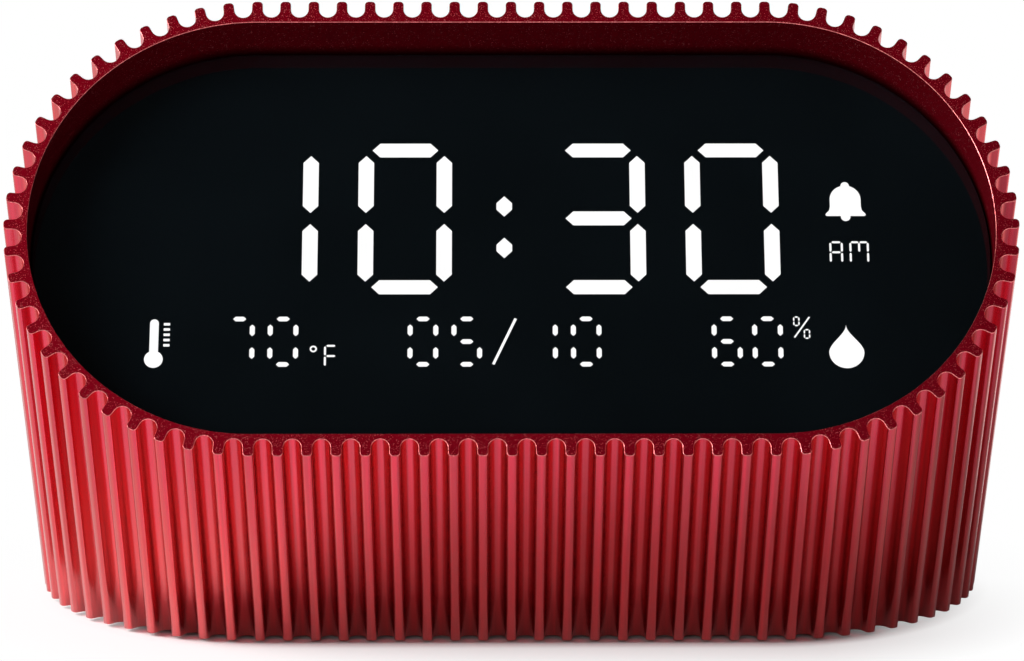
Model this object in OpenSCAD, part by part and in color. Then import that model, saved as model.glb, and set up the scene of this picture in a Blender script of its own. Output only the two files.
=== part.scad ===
// Desk alarm clock in a ribbed aluminium extrusion.
// The tube leans forward, its mouth is cut for the display, and its tail is
// mitred twice, so that one cut is the foot and the other closes the back.
// Millimetres, +Z up, display towards -Y, origin under the middle of the box.

/* [Extrusion] */
// Spacing of the ribs along a flat side
rib_pitch = 4; // [3.8:0.1:4.8]
// Number of rib spacings along a flat side
flat_ribs = 18; // [16:2:24]
// Number of rib spacings around a round end
end_ribs = 26; // [22:2:28]
// Radius of the round ends over the rib tips
tip_r = 34.7; // [32:0.1:42]
// Height of a rib above the bottom of its grooves
rib_h = 2.5; // [2:0.1:3.2]
// Radius of a groove bottom
groove_r = 1.25; // [0.8:0.05:1.3]
// Width of the flat on a rib's tip
rib_top = 0.4; // [0.2:0.1:0.6]
// Radius of the edges of a rib's tip
rib_tip_r = 0.55; // [0.3:0.05:0.6]
// Wall left under a groove
wall = 0.8; // [0.6:0.1:1.6]

/* [Stance] */
// Lean of the tube from upright, in degrees
lean = 45; // [40:1:50]
// Angle of the mouth cut from square to the tube, in degrees
face_tilt = 11.3; // [4:0.1:14]
// Length of the lowest rib, from mouth to foot
front_len = 45.6; // [38:0.1:56]
// Overall depth, from the lip of the mouth to the back
body_d = 86; // [78:0.5:104]
// Gap that the feet keep under the tube
stand = 0.5; // [0.3:0.1:2]

/* [Display] */
// Depth of the lens below the cut rim, square to the lens
lens_recess = 6.8; // [4:0.1:9]
// Thickness of the lens
lens_t = 2; // [1.5:0.1:3]
// Thickness of the foam gasket under the lens
gasket_t = 0.6; // [0.4:0.1:1]
// Width of the gasket ring
gasket_w = 3; // [2:0.1:4]
// Thickness of the ledge that carries the lens
ledge_t = 2.2; // [1.6:0.1:3]
// Width of the liquid crystal panel
lcd_w = 108; // [90:1:108]
// Height of the liquid crystal panel
lcd_h = 41; // [34:1:42]
// Thickness of the liquid crystal panel
lcd_t = 2.2; // [1.6:0.1:3]
// Overlap of the ledge on the edges of the panel
lcd_lap = 1.5; // [1:0.1:3]
// Thickness of the diffuser sheet
diffuser_t = 1; // [0.5:0.1:2]
// Depth of the light box behind the diffuser
light_box_d = 6; // [4:0.5:8]
// Wall of the light box
light_box_wall = 1.5; // [1:0.1:2]
// Light cells across the light box
light_cols = 6; // [3:1:8]
// Light cells up the light box
light_rows = 2; // [1:1:3]
// Width of the display board
display_board_w = 122; // [121:0.5:123]
// Height of the display board
display_board_h = 34; // [30:1:36]
// Drop of the display below the middle of the mouth
display_drop = 2; // [1:0.1:3]

/* [Chassis] */
// Clearance between pieces that fit into each other
fit = 0.25; // [0.15:0.05:0.4]
// Wall of the plastic sleeve inside the tube
sleeve_t = 1.6; // [1.2:0.1:2.2]
// Radius of a screw boss
boss_r = 3; // [2.6:0.1:3.4]
// Length of a screw boss
boss_l = 9; // [8:0.5:11]
// Thickness of circuit boards
board_t = 1.6; // [1:0.1:2]

/* [Screws] */
// Diameter of a screw shank
screw_d = 2; // [1.6:0.1:2.3]
// Diameter of a screw head
screw_head_d = 3.8; // [3.4:0.1:4.2]
// Height of a screw head
screw_head_h = 1.3; // [1:0.1:1.5]
// Length of a screw shank
screw_l = 6; // [5:0.5:7]

/* [Base] */
// Depth of the base plate inside the foot of the tube
base_recess = 0.5; // [0.3:0.1:1]
// Thickness of the base plate
base_t = 2.2; // [2:0.1:3]
// Diameter of a rubber foot
foot_d = 9; // [7:0.5:10]
// Depth of the pocket that holds a foot
foot_pocket = 0.8; // [0.5:0.1:1]

/* [Back] */
// Depth of the back cover inside the back of the tube
cover_recess = 2; // [1.6:0.1:3]
// Thickness of the back cover
cover_t = 2.2; // [2:0.1:3]
// Length of the posts that carry the main board
post_l = 7; // [6.6:0.1:8]
// Width of the main board
main_w = 82; // [78:1:84]
// Height of the main board
main_h = 25; // [23:0.5:26]
// Middle of the main board from the middle of the clock
main_x = 15; // [13:0.5:16]
// Width of a vent slot over the climate sensor
vent_w = 1.4; // [1:0.1:1.8]
// Number of vent slots
vent_count = 5; // [3:2:5]

/* [Controls] */
// Diameter of a button
button_d = 7; // [6:0.1:8]
// Spacing of the buttons
button_pitch = 13; // [12:0.5:14]
// Travel of a button
button_travel = 0.8; // [0.4:0.1:1]
// Height of a button above the back cover
button_proud = 1.5; // [1:0.1:1.8]
// Height of a push switch with its plunger
tact_h = 4.6; // [4:0.1:4.8]
// Travel of the alarm slider
slider_travel = 4; // [3:0.1:5]
// Length of the alarm slider's knob
knob_w = 5; // [4:0.1:6]
// Height of the alarm slider's knob
knob_h = 3.6; // [3:0.1:4]

/* [Power and sound] */
// Width of the charging socket's shell
usb_w = 9.2; // [9:0.1:9.4]
// Height of the charging socket's shell
usb_h = 3.5; // [3.3:0.1:3.7]
// Diameter of the battery cell
cell_d = 18.3; // [16:0.1:18.6]
// Length of the battery cell
cell_l = 65; // [50:1:66]
// Diameter of the loudspeaker
speaker_d = 28; // [22:0.5:28]
// Middle of the loudspeaker from the middle of the clock
speaker_x = -43.5; // [-44:0.5:-43]
// Diameter of a sound hole
sound_hole_d = 1.8; // [1.2:0.1:2.2]

/* [Hidden] */
$fn = 48;

// Tube section
half_flat = flat_ribs * rib_pitch / 2;
core_r = tip_r - rib_h + groove_r;
inner_r = tip_r - rib_h - wall;
sleeve_r = inner_r - fit - sleeve_t;
tip_corner = [rib_top / 2, tip_r - rib_tip_r];
end_step = 180 / end_ribs;
flat_groove = [rib_pitch / 2, core_r];
end_groove = core_r * [sin(end_step / 2), cos(end_step / 2)];
corner_sides = 3;
groove_sides = 6;
reach = 4 * (half_flat + tip_r);

// Planes and places
face_angle = lean + face_tilt;
face_h = 2 * tip_r / cos(face_tilt);
back_y = body_d / 2;
lip_z = stand + front_len * cos(lean);
section_y = tip_r / cos(lean) + front_len * sin(lean) - back_y;
base_z = stand + base_recess;
base_top = base_z + base_t;
cover_out = back_y - cover_recess;
cover_in = cover_out - cover_t;

// Depths below the cut rim, square to the lens
gasket_at = lens_recess + lens_t;
ledge_at = gasket_at + gasket_t;
lcd_at = ledge_at + ledge_t;
diffuser_at = lcd_at + lcd_t;
light_box_at = diffuser_at + diffuser_t;
display_board_at = light_box_at + light_box_d;
display_back_at = display_board_at + board_t;
display_hole_edge = 0.4;
display_hole_y = 10;
display_hole = [display_board_w / 2 - boss_r - display_hole_edge, display_hole_y];
board_corner = 10;
panel_corner = 1;
window_corner = 3;
light_cell = [
  (lcd_w - (light_cols + 1) * light_box_wall) / light_cols,
  (lcd_h - (light_rows + 1) * light_box_wall) / light_rows
];
led_size = [3, 2.8, 0.8];
led_dome_r = 1.1;
led_dome_h = 0.5;

// How far a cutter runs past a face, and a boss or post into what carries it
over = 1;
root = 0.5;

// Screw holes, and the screw bosses of the chassis
pilot_play = 0.05;
pilot_r = screw_d / 2 + pilot_play;
shank_hole_r = screw_d / 2 + fit;
boss_sink = 0.8;
base_boss_out = 8;
base_boss_in = 5;
cover_boss_x = 24;
cover_boss_drop = 2;
cover_boss_gap = 1;
web_t = 2;
base_boss_front_x = half_flat + base_boss_out;
base_boss_front = [base_boss_front_x, bore_y(base_boss_front_x, base_top, sleeve_r, -1) + boss_r];
base_boss_back_y = cover_in - boss_r - base_boss_in;
base_boss_back = [
  bore_x(base_boss_back_y, base_top + boss_l / 2, sleeve_r) - boss_r + boss_sink,
  base_boss_back_y
];
cover_boss_low_z = base_top + boss_l + boss_r + cover_boss_gap;
cover_boss_low = [
  bore_x(cover_in - boss_l / 2, cover_boss_low_z, sleeve_r) - boss_r + boss_sink,
  cover_boss_low_z
];
cover_boss_high = [cover_boss_x, bore_z(cover_boss_x, cover_in, sleeve_r) - boss_r - cover_boss_drop];

// Feet
foot_x = 24;
foot_edge_front = 3;
foot_edge_back = 4;
foot_back_in = 16;
foot_front = [foot_x, bore_y(foot_x, base_z, inner_r - fit, -1) + foot_d / 2 + foot_edge_front];
foot_back = [base_boss_back.x - foot_back_in, cover_in - foot_d / 2 - foot_edge_back];

// Main board, seen from behind
main_lift = 2;
main_corner = 1.5;
post_r = 2.4;
post_edge = [0.6, 0.4];
button_shift = 7;
button_drop = 9;
slider_gap = 2;
low_row = 6;
vent_shift = 28.6;
vent_h = 7;
main_y = cover_in - post_l;
main_front = main_y - board_t;
main_z = base_top + fit + main_lift;
post_at = [main_w / 2 - post_r - post_edge.x, main_h / 2 - post_r - post_edge.y];
button_x = main_x - button_shift;
button_z = main_z + main_h - button_drop;
slider_x = button_x + 2.5 * button_pitch + slider_gap;
usb_at = [button_x, main_z + low_row];
vent_at = [button_x + vent_shift, main_z + low_row];

// Switches, buttons and slider
tact_w = 6;
tact_body_h = 3.5;
plunger_r = 1.75;
press_gap = 0.1;
slide_gap = 0.15;
flange_w = 0.8;
cap_edge = 0.6;
dish_rim = 1.3;
dish_h = 0.3;
switch_size = [10, tact_body_h, 4.6];
peg = [1.6, 2, 1.6];
knob_corner = 0.8;
slot_corner = 1;
plate_t = 0.9;
plate_lap = [0.5, 1.5];
slider_plate = [knob_w + 2 * (slider_travel + plate_lap.x), plate_t, knob_h + 2 * plate_lap.y];
button_foot = main_y + tact_h + button_travel + press_gap;

// Chips, from the middle of the buttons and the lower edge of the main board
chip_t = 1.5;
chip_at = [[-6, 8], [8, 6]];
chip_size = [[10, 10], [5, 6]];
capacitor_at = [28.5, 8];
capacitor_d = 5;
capacitor_h = 4;
sensor_size = [3, 3, 1];
sensor_port_r = 0.6;

// Charging socket
usb_wall = 0.35;
usb_inset = 0.4;
usb_floor = 1;
tongue_side = 1.3;
tongue_t = 0.7;
tongue_inset = 1.5;

// Loudspeaker
speaker_lift = 3.5;
speaker_h = 9;
speaker_gasket_t = 0.6;
speaker_gasket_w = 2;
seat_wall = 1.2;
seat_l = 4.5;
sound_rings = 3;
sound_edge = 3;
speaker_z = base_top + speaker_d / 2 + speaker_lift;

// Battery
tray_floor = 1.4;
tray_wall = 1.6;
tray_side_h = 7.8;
tray_end_over = 3.8;
nub_d = 7.3;
nub_h = 1;
contact = [0.5, 7, 11.9];
contact_lift = 4;
cell_y = (bore_y(0, base_top, sleeve_r, -1) + main_front) / 2;
cell_z = base_top + tray_floor + cell_d / 2 + fit;

// Flat cable from the display board to the main board
ribbon_w = 14;
ribbon_t = 0.4;
ribbon_drop = 2;
ribbon_shift = 4;
ribbon_runs = [14, 12];
ribbon_steps = 14;
ribbon_socket = [ribbon_w + 3, 4.5, 2.2];
main_socket_drop = 5;
ribbon_x = main_x - ribbon_shift;
main_socket_z = main_z + main_h - main_socket_drop;
ribbon_from = face_point(-ribbon_drop, display_back_at + ribbon_socket.z);
ribbon_to = [main_front - ribbon_socket.z, main_socket_z];
ribbon_path = [
  ribbon_from,
  ribbon_from + ribbon_runs[0] * [sin(face_angle), -cos(face_angle)],
  ribbon_to - [ribbon_runs[1], 0],
  ribbon_to
];

// Where the bore of radius r meets a line across the clock, up it, or along it
function bore_half(x, r) = sqrt(r * r - pow(max(0, abs(x) - half_flat), 2));
function bore_y(x, z, r, side) =
  section_y + (side * bore_half(x, r) - (z - stand) * sin(lean)) / cos(lean);
function bore_z(x, y, r) = stand + (bore_half(x, r) - (y - section_y) * cos(lean)) / sin(lean);
function bore_x(y, z, r) =
  half_flat + sqrt(r * r - pow((y - section_y) * cos(lean) + (z - stand) * sin(lean), 2));

// A point of the display's frame in side view: up from its middle and below the cut rim
function face_point(up, depth) = [
  -back_y + (face_h / 2 + up) * cos(face_angle) + depth * sin(face_angle),
  lip_z + (face_h / 2 + up) * sin(face_angle) - depth * cos(face_angle)
];

// Outline of the ribbed tube: flat tips with round edges, and round grooves tangent to them
function arc(c, r, from, to, n) =
  [for (i = [0:n]) let (a = from + (to - from) * i / n) c + r * [cos(a), sin(a)]];
function turned(p, a) = [p.x * cos(a) - p.y * sin(a), p.x * sin(a) + p.y * cos(a)];
function flank(groove) =
  let (d = groove - tip_corner) atan2(d.y, d.x) + acos((groove_r + rib_tip_r) / norm(d));
function tooth(left, right, groove, step) = concat(
  arc([-tip_corner.x, tip_corner.y], rib_tip_r, 180 - left, 90, corner_sides),
  arc(tip_corner, rib_tip_r, 90, right, corner_sides),
  arc(groove, groove_r, 180 + right, 360 - right - step, groove_sides)
);
function half_outline() = let (f = flank(flat_groove), e = flank(end_groove)) [
  for (i = [0:flat_ribs - 1], p = tooth(i == 0 ? e : f, f, flat_groove, 0))
    p + [i * rib_pitch - half_flat, 0],
  for (i = [0:end_ribs - 1], p = tooth(i == 0 ? f : e, e, end_groove, end_step))
    turned(p, -i * end_step) + [half_flat, 0]
];

// A point of a cubic curve, and a thin strip along it
function cubic(p, t) =
  pow(1 - t, 3) * p[0] + 3 * pow(1 - t, 2) * t * p[1] + 3 * (1 - t) * t * t * p[2] + pow(t, 3) * p[3];
function side_step(p, t) =
  let (d = cubic(p, t + 0.01) - cubic(p, t - 0.01)) [-d.y, d.x] / norm(d);

// A slot with round ends, and the section of the tube with round ends of radius r
module pill(w, h) {
  square([w - h, h], center = true);
  for (s = [-1, 1])
    translate([s * (w - h) / 2, 0])
      circle(d = h);
}

module stadium(r) pill(2 * (half_flat + r), 2 * r);

module rounded(size, r) {
  square([size.x, size.y - 2 * r], center = true);
  square([size.x - 2 * r, size.y], center = true);
  for (x = [-1, 1], y = [-1, 1])
    translate([x * (size.x / 2 - r), y * (size.y / 2 - r)])
      circle(r = r);
}

// The frame of the tube: z along its axis, towards the mouth
module in_tube() translate([0, section_y, stand])
  rotate([lean, 0, 0])
    children();

// The frame of the display: x and y across it from its middle, z out of it
module in_face(depth) translate([0, -back_y, lip_z])
  rotate([face_angle, 0, 0])
    translate([0, face_h / 2, -depth])
      children();

// The same for the pieces of the display, which sit lower in the mouth
module in_display(depth) in_face(depth)
  translate([0, -display_drop, 0])
    children();

// The frame of the back: z towards the back
module at_back(x, y, z) translate([x, y, z])
  rotate([-90, 0, 0])
    children();

// The inside of the tube, smaller by the clearance
module bore(clearance) in_tube()
  linear_extrude(height = reach, center = true)
    stadium(inner_r - clearance);

// All that lies below the mouth by depth, above z and in front of y
module side_prism(depth, z, y) {
  top = lip_z + 3 * tip_r;
  slope = 1 / tan(face_angle);
  start = -back_y - lip_z * slope + depth / sin(face_angle);
  rotate([90, 0, 90])
    linear_extrude(height = reach, center = true)
      polygon([[start + z * slope, z], [y, z], [y, top], [start + top * slope, top]]);
}

// A slab across the tube, square to the lens
module face_slab(depth, thick) in_face(depth + thick)
  linear_extrude(height = thick)
    square(reach, center = true);

// A screw along +z with its head below, and a mirrored pair of anything
module screw() {
  translate([0, 0, -screw_head_h])
    cylinder(d = screw_head_d, h = screw_head_h);
  cylinder(d = screw_d, h = screw_l);
}

module both_sides() for (s = [0, 1])
  mirror([s, 0, 0])
    children();

module body_shell() color("#b3122b")
  intersection() {
    in_tube()
      linear_extrude(height = reach, center = true)
        difference() {
          polygon(concat(half_outline(), -half_outline()));
          stadium(inner_r);
        }
    side_prism(0, stand, back_y);
  }

module front_lens() color("#101417")
  intersection() {
    bore(fit);
    face_slab(lens_recess, lens_t);
  }

module lens_gasket() color("#1c1c1c")
  difference() {
    intersection() {
      bore(2 * fit);
      face_slab(gasket_at, gasket_t);
    }
    bore(fit + gasket_w);
  }

// Places of the chassis screws: under the base, behind the cover, behind the display
module at_base_screws(z) both_sides()
  for (p = [base_boss_front, base_boss_back])
    translate([p.x, p.y, z])
      children();

module at_cover_screws(y) both_sides()
  for (p = [cover_boss_low, cover_boss_high])
    translate([p.x, y, p.y])
      rotate([90, 0, 0])
        children();

module at_display_screws(depth) in_display(depth)
  for (x = [-1, 1], y = [-1, 1])
    translate([x * display_hole.x, y * display_hole.y])
      children();

module chassis_webs() both_sides() {
  translate([base_boss_front.x - web_t / 2, base_boss_front.y - 2 * boss_l, base_top + fit])
    cube([web_t, 2 * boss_l, boss_l]);
  translate([cover_boss_high.x - web_t / 2, cover_in - fit - boss_l, cover_boss_high.y])
    cube([web_t, boss_l, 2 * boss_l]);
}

module chassis_prism() side_prism(ledge_at, base_top + fit, cover_in - fit);

module chassis_sleeve() difference() {
  intersection() {
    bore(fit);
    chassis_prism();
  }
  bore(fit + sleeve_t);
}

// The ledge, bosses and webs end inside the wall of the sleeve
module chassis_inside() intersection() {
  bore(fit + sleeve_t / 2);
  chassis_prism();
  union() {
    face_slab(ledge_at - over, ledge_t + over);
    at_base_screws(base_top + fit)
      cylinder(r = boss_r, h = boss_l);
    at_cover_screws(cover_in - fit)
      cylinder(r = boss_r, h = boss_l);
    chassis_webs();
  }
}

module chassis() color("#232426")
  difference() {
    union() {
      chassis_sleeve();
      chassis_inside();
      at_display_screws(display_board_at)
        cylinder(r = boss_r, h = display_board_at - lcd_at + root);
    }
    in_display(lcd_at + over)
      linear_extrude(height = ledge_t + 2 * over)
        rounded([lcd_w - 2 * lcd_lap, lcd_h - 2 * lcd_lap], window_corner);
    at_base_screws(base_top)
      cylinder(r = pilot_r, h = screw_l + over);
    at_cover_screws(cover_in)
      cylinder(r = pilot_r, h = screw_l + over);
    at_display_screws(display_board_at + over)
      cylinder(r = pilot_r, h = screw_l + over);
  }

module lcd_panel() color("#0b0f14")
  in_display(diffuser_at)
    linear_extrude(height = lcd_t)
      rounded([lcd_w, lcd_h], panel_corner);

module diffuser_sheet() color("#eef0ee")
  in_display(light_box_at)
    linear_extrude(height = diffuser_t)
      rounded([lcd_w, lcd_h], panel_corner);

// Middles of the light cells
module at_light_cells()
  for (i = [0:light_cols - 1], j = [0:light_rows - 1])
    translate([
      (i - (light_cols - 1) / 2) * (light_cell.x + light_box_wall),
      (j - (light_rows - 1) / 2) * (light_cell.y + light_box_wall)
    ])
      children();

module light_box() color("#f4f4f0")
  in_display(display_board_at)
    linear_extrude(height = light_box_d)
      difference() {
        rounded([lcd_w, lcd_h], panel_corner);
        at_light_cells()
          square(light_cell, center = true);
      }

module backlight_leds() color("#f2e7a0")
  in_display(display_board_at)
    at_light_cells() {
      linear_extrude(height = led_size.z)
        square([led_size.x, led_size.y], center = true);
      translate([0, 0, led_size.z])
        cylinder(r = led_dome_r, h = led_dome_h);
    }

module display_board() color("#1d5a35")
  difference() {
    in_display(display_back_at)
      linear_extrude(height = board_t)
        rounded([display_board_w, display_board_h], board_corner);
    at_display_screws(display_back_at + over)
      cylinder(r = shank_hole_r, h = board_t + 2 * over);
  }

module display_screws() color("#9a9c9e")
  at_display_screws(display_back_at)
    screw();

module ribbon_sockets() color("#e9e4d4") {
  in_face(display_back_at + ribbon_socket.z)
    translate([ribbon_x, -ribbon_drop, ribbon_socket.z / 2])
      cube(ribbon_socket, center = true);
  at_back(ribbon_x, main_front - ribbon_socket.z / 2, main_socket_z)
    cube(ribbon_socket, center = true);
}

module ribbon_cable() color("#d8dde2")
  translate([ribbon_x, 0, 0])
    rotate([90, 0, 90])
      linear_extrude(height = ribbon_w, center = true)
        polygon([
          for (i = [0:ribbon_steps], t = i / ribbon_steps)
            cubic(ribbon_path, t) + side_step(ribbon_path, t) * ribbon_t / 2,
          for (i = [0:ribbon_steps], t = 1 - i / ribbon_steps)
            cubic(ribbon_path, t) - side_step(ribbon_path, t) * ribbon_t / 2
        ]);

// Places of the four buttons, and of the posts of the main board
module at_button(i, y) at_back(button_x + (i - 1.5) * button_pitch, y, button_z)
  children();

module at_posts(y) for (x = [-1, 1], z = [-1, 1])
  at_back(main_x + x * post_at.x, y, main_z + main_h / 2 + z * post_at.y)
    children();

// Sound holes in rings of six
module sound_holes() {
  ring_step = (speaker_d / 2 - sound_edge) / sound_rings;
  cylinder(d = sound_hole_d, h = 3 * cover_t, center = true);
  for (ring = [1:sound_rings], i = [0:6 * ring - 1])
    rotate(i * 60 / ring + 15 * ring)
      translate([ring * ring_step, 0, 0])
        cylinder(d = sound_hole_d, h = 3 * cover_t, center = true);
}

module cover_openings() {
  through = cover_t + 2 * over;
  at_cover_screws(cover_out + over) {
    cylinder(r = shank_hole_r, h = through);
    cylinder(d = screw_head_d + 2 * fit, h = over + screw_head_h);
  }
  for (i = [0:3])
    at_button(i, cover_in - over)
      cylinder(d = button_d + 2 * fit, h = through);
  at_back(slider_x, cover_in - over, button_z)
    linear_extrude(height = through)
      rounded([knob_w + slider_travel + 2 * fit, knob_h + 2 * fit], slot_corner);
  at_back(usb_at.x, cover_in - over, usb_at.y)
    linear_extrude(height = through)
      pill(usb_w + 2 * fit, usb_h + 2 * fit);
  for (i = [0:vent_count - 1])
    at_back(vent_at.x + (i - (vent_count - 1) / 2) * 2 * vent_w, cover_in - over, vent_at.y)
      linear_extrude(height = through)
        rotate(90)
          pill(vent_h, vent_w);
  at_back(speaker_x, (cover_in + cover_out) / 2, speaker_z)
    sound_holes();
}

module back_cover() color("#1b1c1e") {
  difference() {
    intersection() {
      bore(fit);
      translate([-reach / 2, cover_in, base_z])
        cube([reach, cover_t, reach]);
    }
    cover_openings();
  }
  difference() {
    at_posts(main_y)
      cylinder(r = post_r, h = post_l + root);
    at_posts(main_y - over)
      cylinder(r = pilot_r, h = screw_l + over);
  }
  at_back(speaker_x, cover_in - seat_l, speaker_z)
    difference() {
      cylinder(d = speaker_d + 2 * fit + 2 * seat_wall, h = seat_l + root);
      translate([0, 0, -over])
        cylinder(d = speaker_d + 2 * fit, h = seat_l + over);
    }
}

module cover_screws() color("#3a3b3d")
  at_cover_screws(cover_out - screw_head_h)
    screw();

module base_plate() color("#1b1c1e")
  difference() {
    intersection() {
      bore(fit);
      translate([-reach / 2, -reach, base_z])
        cube([reach, reach + cover_in - fit, base_t]);
    }
    at_base_screws(base_z - over) {
      cylinder(r = shank_hole_r, h = base_t + 2 * over);
      cylinder(d = screw_head_d + 2 * fit, h = over + screw_head_h);
    }
    at_feet(base_z - over)
      cylinder(d = foot_d + 2 * fit, h = over + foot_pocket);
  }

module base_screws() color("#3a3b3d")
  at_base_screws(base_z + screw_head_h)
    screw();

module at_feet(z) both_sides()
  for (p = [foot_front, foot_back])
    translate([p.x, p.y, z])
      children();

module foot_pads() color("#2a2a2a")
  at_feet(0)
    cylinder(d = foot_d, h = base_z + foot_pocket);

module main_board() color("#1d5a35")
  difference() {
    at_back(main_x, main_front, main_z + main_h / 2)
      linear_extrude(height = board_t)
        rounded([main_w, main_h], main_corner);
    at_posts(main_front - over)
      cylinder(r = shank_hole_r, h = board_t + 2 * over);
  }

module board_screws() color("#9a9c9e")
  at_posts(main_front)
    screw();

module push_switches() color("#202124")
  for (i = [0:3])
    at_button(i, main_y) {
      translate([-tact_w / 2, -tact_w / 2, 0])
        cube([tact_w, tact_w, tact_body_h]);
      cylinder(r = plunger_r, h = tact_h);
    }

module slide_switch() color("#a9adb0")
  difference() {
    translate([slider_x - switch_size.x / 2, main_y, button_z - switch_size.z / 2])
      cube(switch_size);
    translate([slider_x, main_y + switch_size.y, button_z])
      cube([peg.x + slider_travel + 4 * fit, 2 * peg.y, peg.z + 4 * fit], center = true);
  }

// Two chips and a capacitor on the side of the board that faces the display
module controller_chips() color("#17181a") {
  for (i = [0:len(chip_at) - 1])
    at_back(button_x + chip_at[i].x, main_front - chip_t / 2, main_z + chip_at[i].y)
      cube([chip_size[i].x, chip_size[i].y, chip_t], center = true);
  at_back(button_x + capacitor_at.x, main_front - capacitor_h, main_z + capacitor_at.y)
    cylinder(d = capacitor_d, h = capacitor_h);
}

module climate_sensor() color("#e6e3da")
  at_back(vent_at.x, main_y, vent_at.y)
    difference() {
      translate([-sensor_size.x / 2, -sensor_size.y / 2, 0])
        cube(sensor_size);
      translate([0, 0, sensor_size.z - sensor_port_r])
        cylinder(r = sensor_port_r, h = over);
    }

module usb_socket() color("#b9bdc1")
  at_back(usb_at.x, main_y, usb_at.y) {
    deep = cover_out - main_y;
    difference() {
      linear_extrude(height = deep - usb_inset)
        pill(usb_w, usb_h);
      translate([0, 0, usb_floor])
        linear_extrude(height = deep)
          pill(usb_w - 2 * usb_wall, usb_h - 2 * usb_wall);
    }
    translate([0, 0, root])
      linear_extrude(height = deep - tongue_inset - root)
        square([usb_w - 2 * tongue_side, tongue_t], center = true);
  }

module speaker_gasket() color("#2a2a2a")
  at_back(speaker_x, cover_in - speaker_gasket_t, speaker_z)
    difference() {
      cylinder(d = speaker_d, h = speaker_gasket_t);
      translate([0, 0, -over])
        cylinder(d = speaker_d - 2 * speaker_gasket_w, h = speaker_gasket_t + 2 * over);
    }

// Magnet, basket, rim, surround, cone and dust cap in one revolved outline
module speaker_driver() color("#4a4d50")
  at_back(speaker_x, cover_in - speaker_gasket_t, speaker_z) {
    rim_r = speaker_d / 2;
    rim_t = 1.2;
    magnet_r = rim_r - 6.3;
    magnet_top = 4 - speaker_h;
    basket_r = rim_r - 4.2;
    surround_r = rim_r - 2;
    cone_r = rim_r - 3;
    cone_d = 2.6;
    cap_r = 4.2;
    cap_h = 0.8;
    rotate_extrude()
      polygon(concat(
        [[0, -speaker_h], [magnet_r, -speaker_h], [magnet_r, magnet_top], [basket_r, magnet_top]],
        [[rim_r - rim_t, -rim_t], [rim_r, -rim_t], [rim_r, 0], [surround_r, 0]],
        [[cone_r, -cap_h / 2], [cap_r, -cone_d], [cap_r / 2, cap_h - cone_d], [0, cap_h - cone_d]]
      ));
  }

module battery_tray() color("#26282a")
  difference() {
    half = cell_l / 2 + contact.x + 2 * fit + tray_wall;
    union() {
      translate([-half, cell_y - cell_d / 2, base_top])
        cube([2 * half, cell_d, tray_side_h]);
      both_sides()
        translate([half - tray_wall, cell_y - cell_d / 2, base_top])
          cube([tray_wall, cell_d, cell_z - base_top + tray_end_over]);
    }
    translate([0, cell_y, cell_z])
      rotate([0, 90, 0])
        cylinder(d = cell_d + 2 * fit, h = 2 * (half - tray_wall), center = true);
  }

module battery_cell() color("#2f6fb5")
  translate([-cell_l / 2, cell_y, cell_z])
    rotate([0, 90, 0]) {
      cylinder(d = cell_d, h = cell_l - nub_h);
      cylinder(d = nub_d, h = cell_l);
    }

module battery_contacts() color("#c9ccd0")
  both_sides()
    translate([cell_l / 2 + fit, cell_y - contact.y / 2, base_top + tray_floor + contact_lift])
      cube(contact);

// The alarm slider, at the off end of its slot
module alarm_slider() color("#c8cbce")
  translate([slider_x - slider_travel / 2, 0, button_z]) {
    plate_y = cover_in - slide_gap - slider_plate.y;
    translate([-slider_plate.x / 2, plate_y, -slider_plate.z / 2])
      cube(slider_plate);
    at_back(0, plate_y + slider_plate.y / 2, 0)
      linear_extrude(height = cover_out + button_proud - plate_y - slider_plate.y / 2)
        rounded([knob_w, knob_h], knob_corner);
    peg_l = plate_y - main_y - switch_size.y + peg.y / 2;
    translate([-peg.x / 2, plate_y - peg_l, -peg.z / 2])
      cube([peg.x, peg_l + slider_plate.y / 2, peg.z]);
  }

// A button cap with its keeper flange, a round edge and a dished top
module button(i) at_button(i, button_foot) {
  r = button_d / 2;
  flange_h = cover_in - slide_gap - button_foot;
  top = cover_out + button_proud - button_foot;
  dish_r = r - dish_rim;
  ball_r = (dish_r * dish_r + dish_h * dish_h) / (2 * dish_h);
  rotate_extrude()
    polygon(concat(
      [[0, 0], [r + flange_w, 0], [r + flange_w, flange_h], [r, flange_h]],
      arc([r - cap_edge, top - cap_edge], cap_edge, 0, 90, 5),
      arc([0, top + ball_r - dish_h], ball_r, 270 + asin(dish_r / ball_r), 270, 4)
    ));
}

module button_set() color("#2c2d30") button(0);
module button_alarm() color("#2c2d30") button(1);
module button_down() color("#2c2d30") button(2);
module button_up() color("#2c2d30") button(3);

body_shell();
front_lens();
lens_gasket();
chassis();
lcd_panel();
diffuser_sheet();
light_box();
backlight_leds();
display_board();
display_screws();
ribbon_sockets();
ribbon_cable();
back_cover();
cover_screws();
base_plate();
base_screws();
foot_pads();
main_board();
board_screws();
push_switches();
slide_switch();
controller_chips();
climate_sensor();
usb_socket();
speaker_driver();
speaker_gasket();
battery_tray();
battery_cell();
battery_contacts();
alarm_slider();
button_set();
button_alarm();
button_up();
button_down();
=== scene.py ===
"""Looks of a desk alarm clock: a ribbed red tube with a lit display in its mouth."""

import math
from collections import namedtuple

import bmesh
import bpy
from bpy.props import FloatProperty, FloatVectorProperty, IntProperty, PointerProperty
from mathutils import Matrix, Vector


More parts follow.
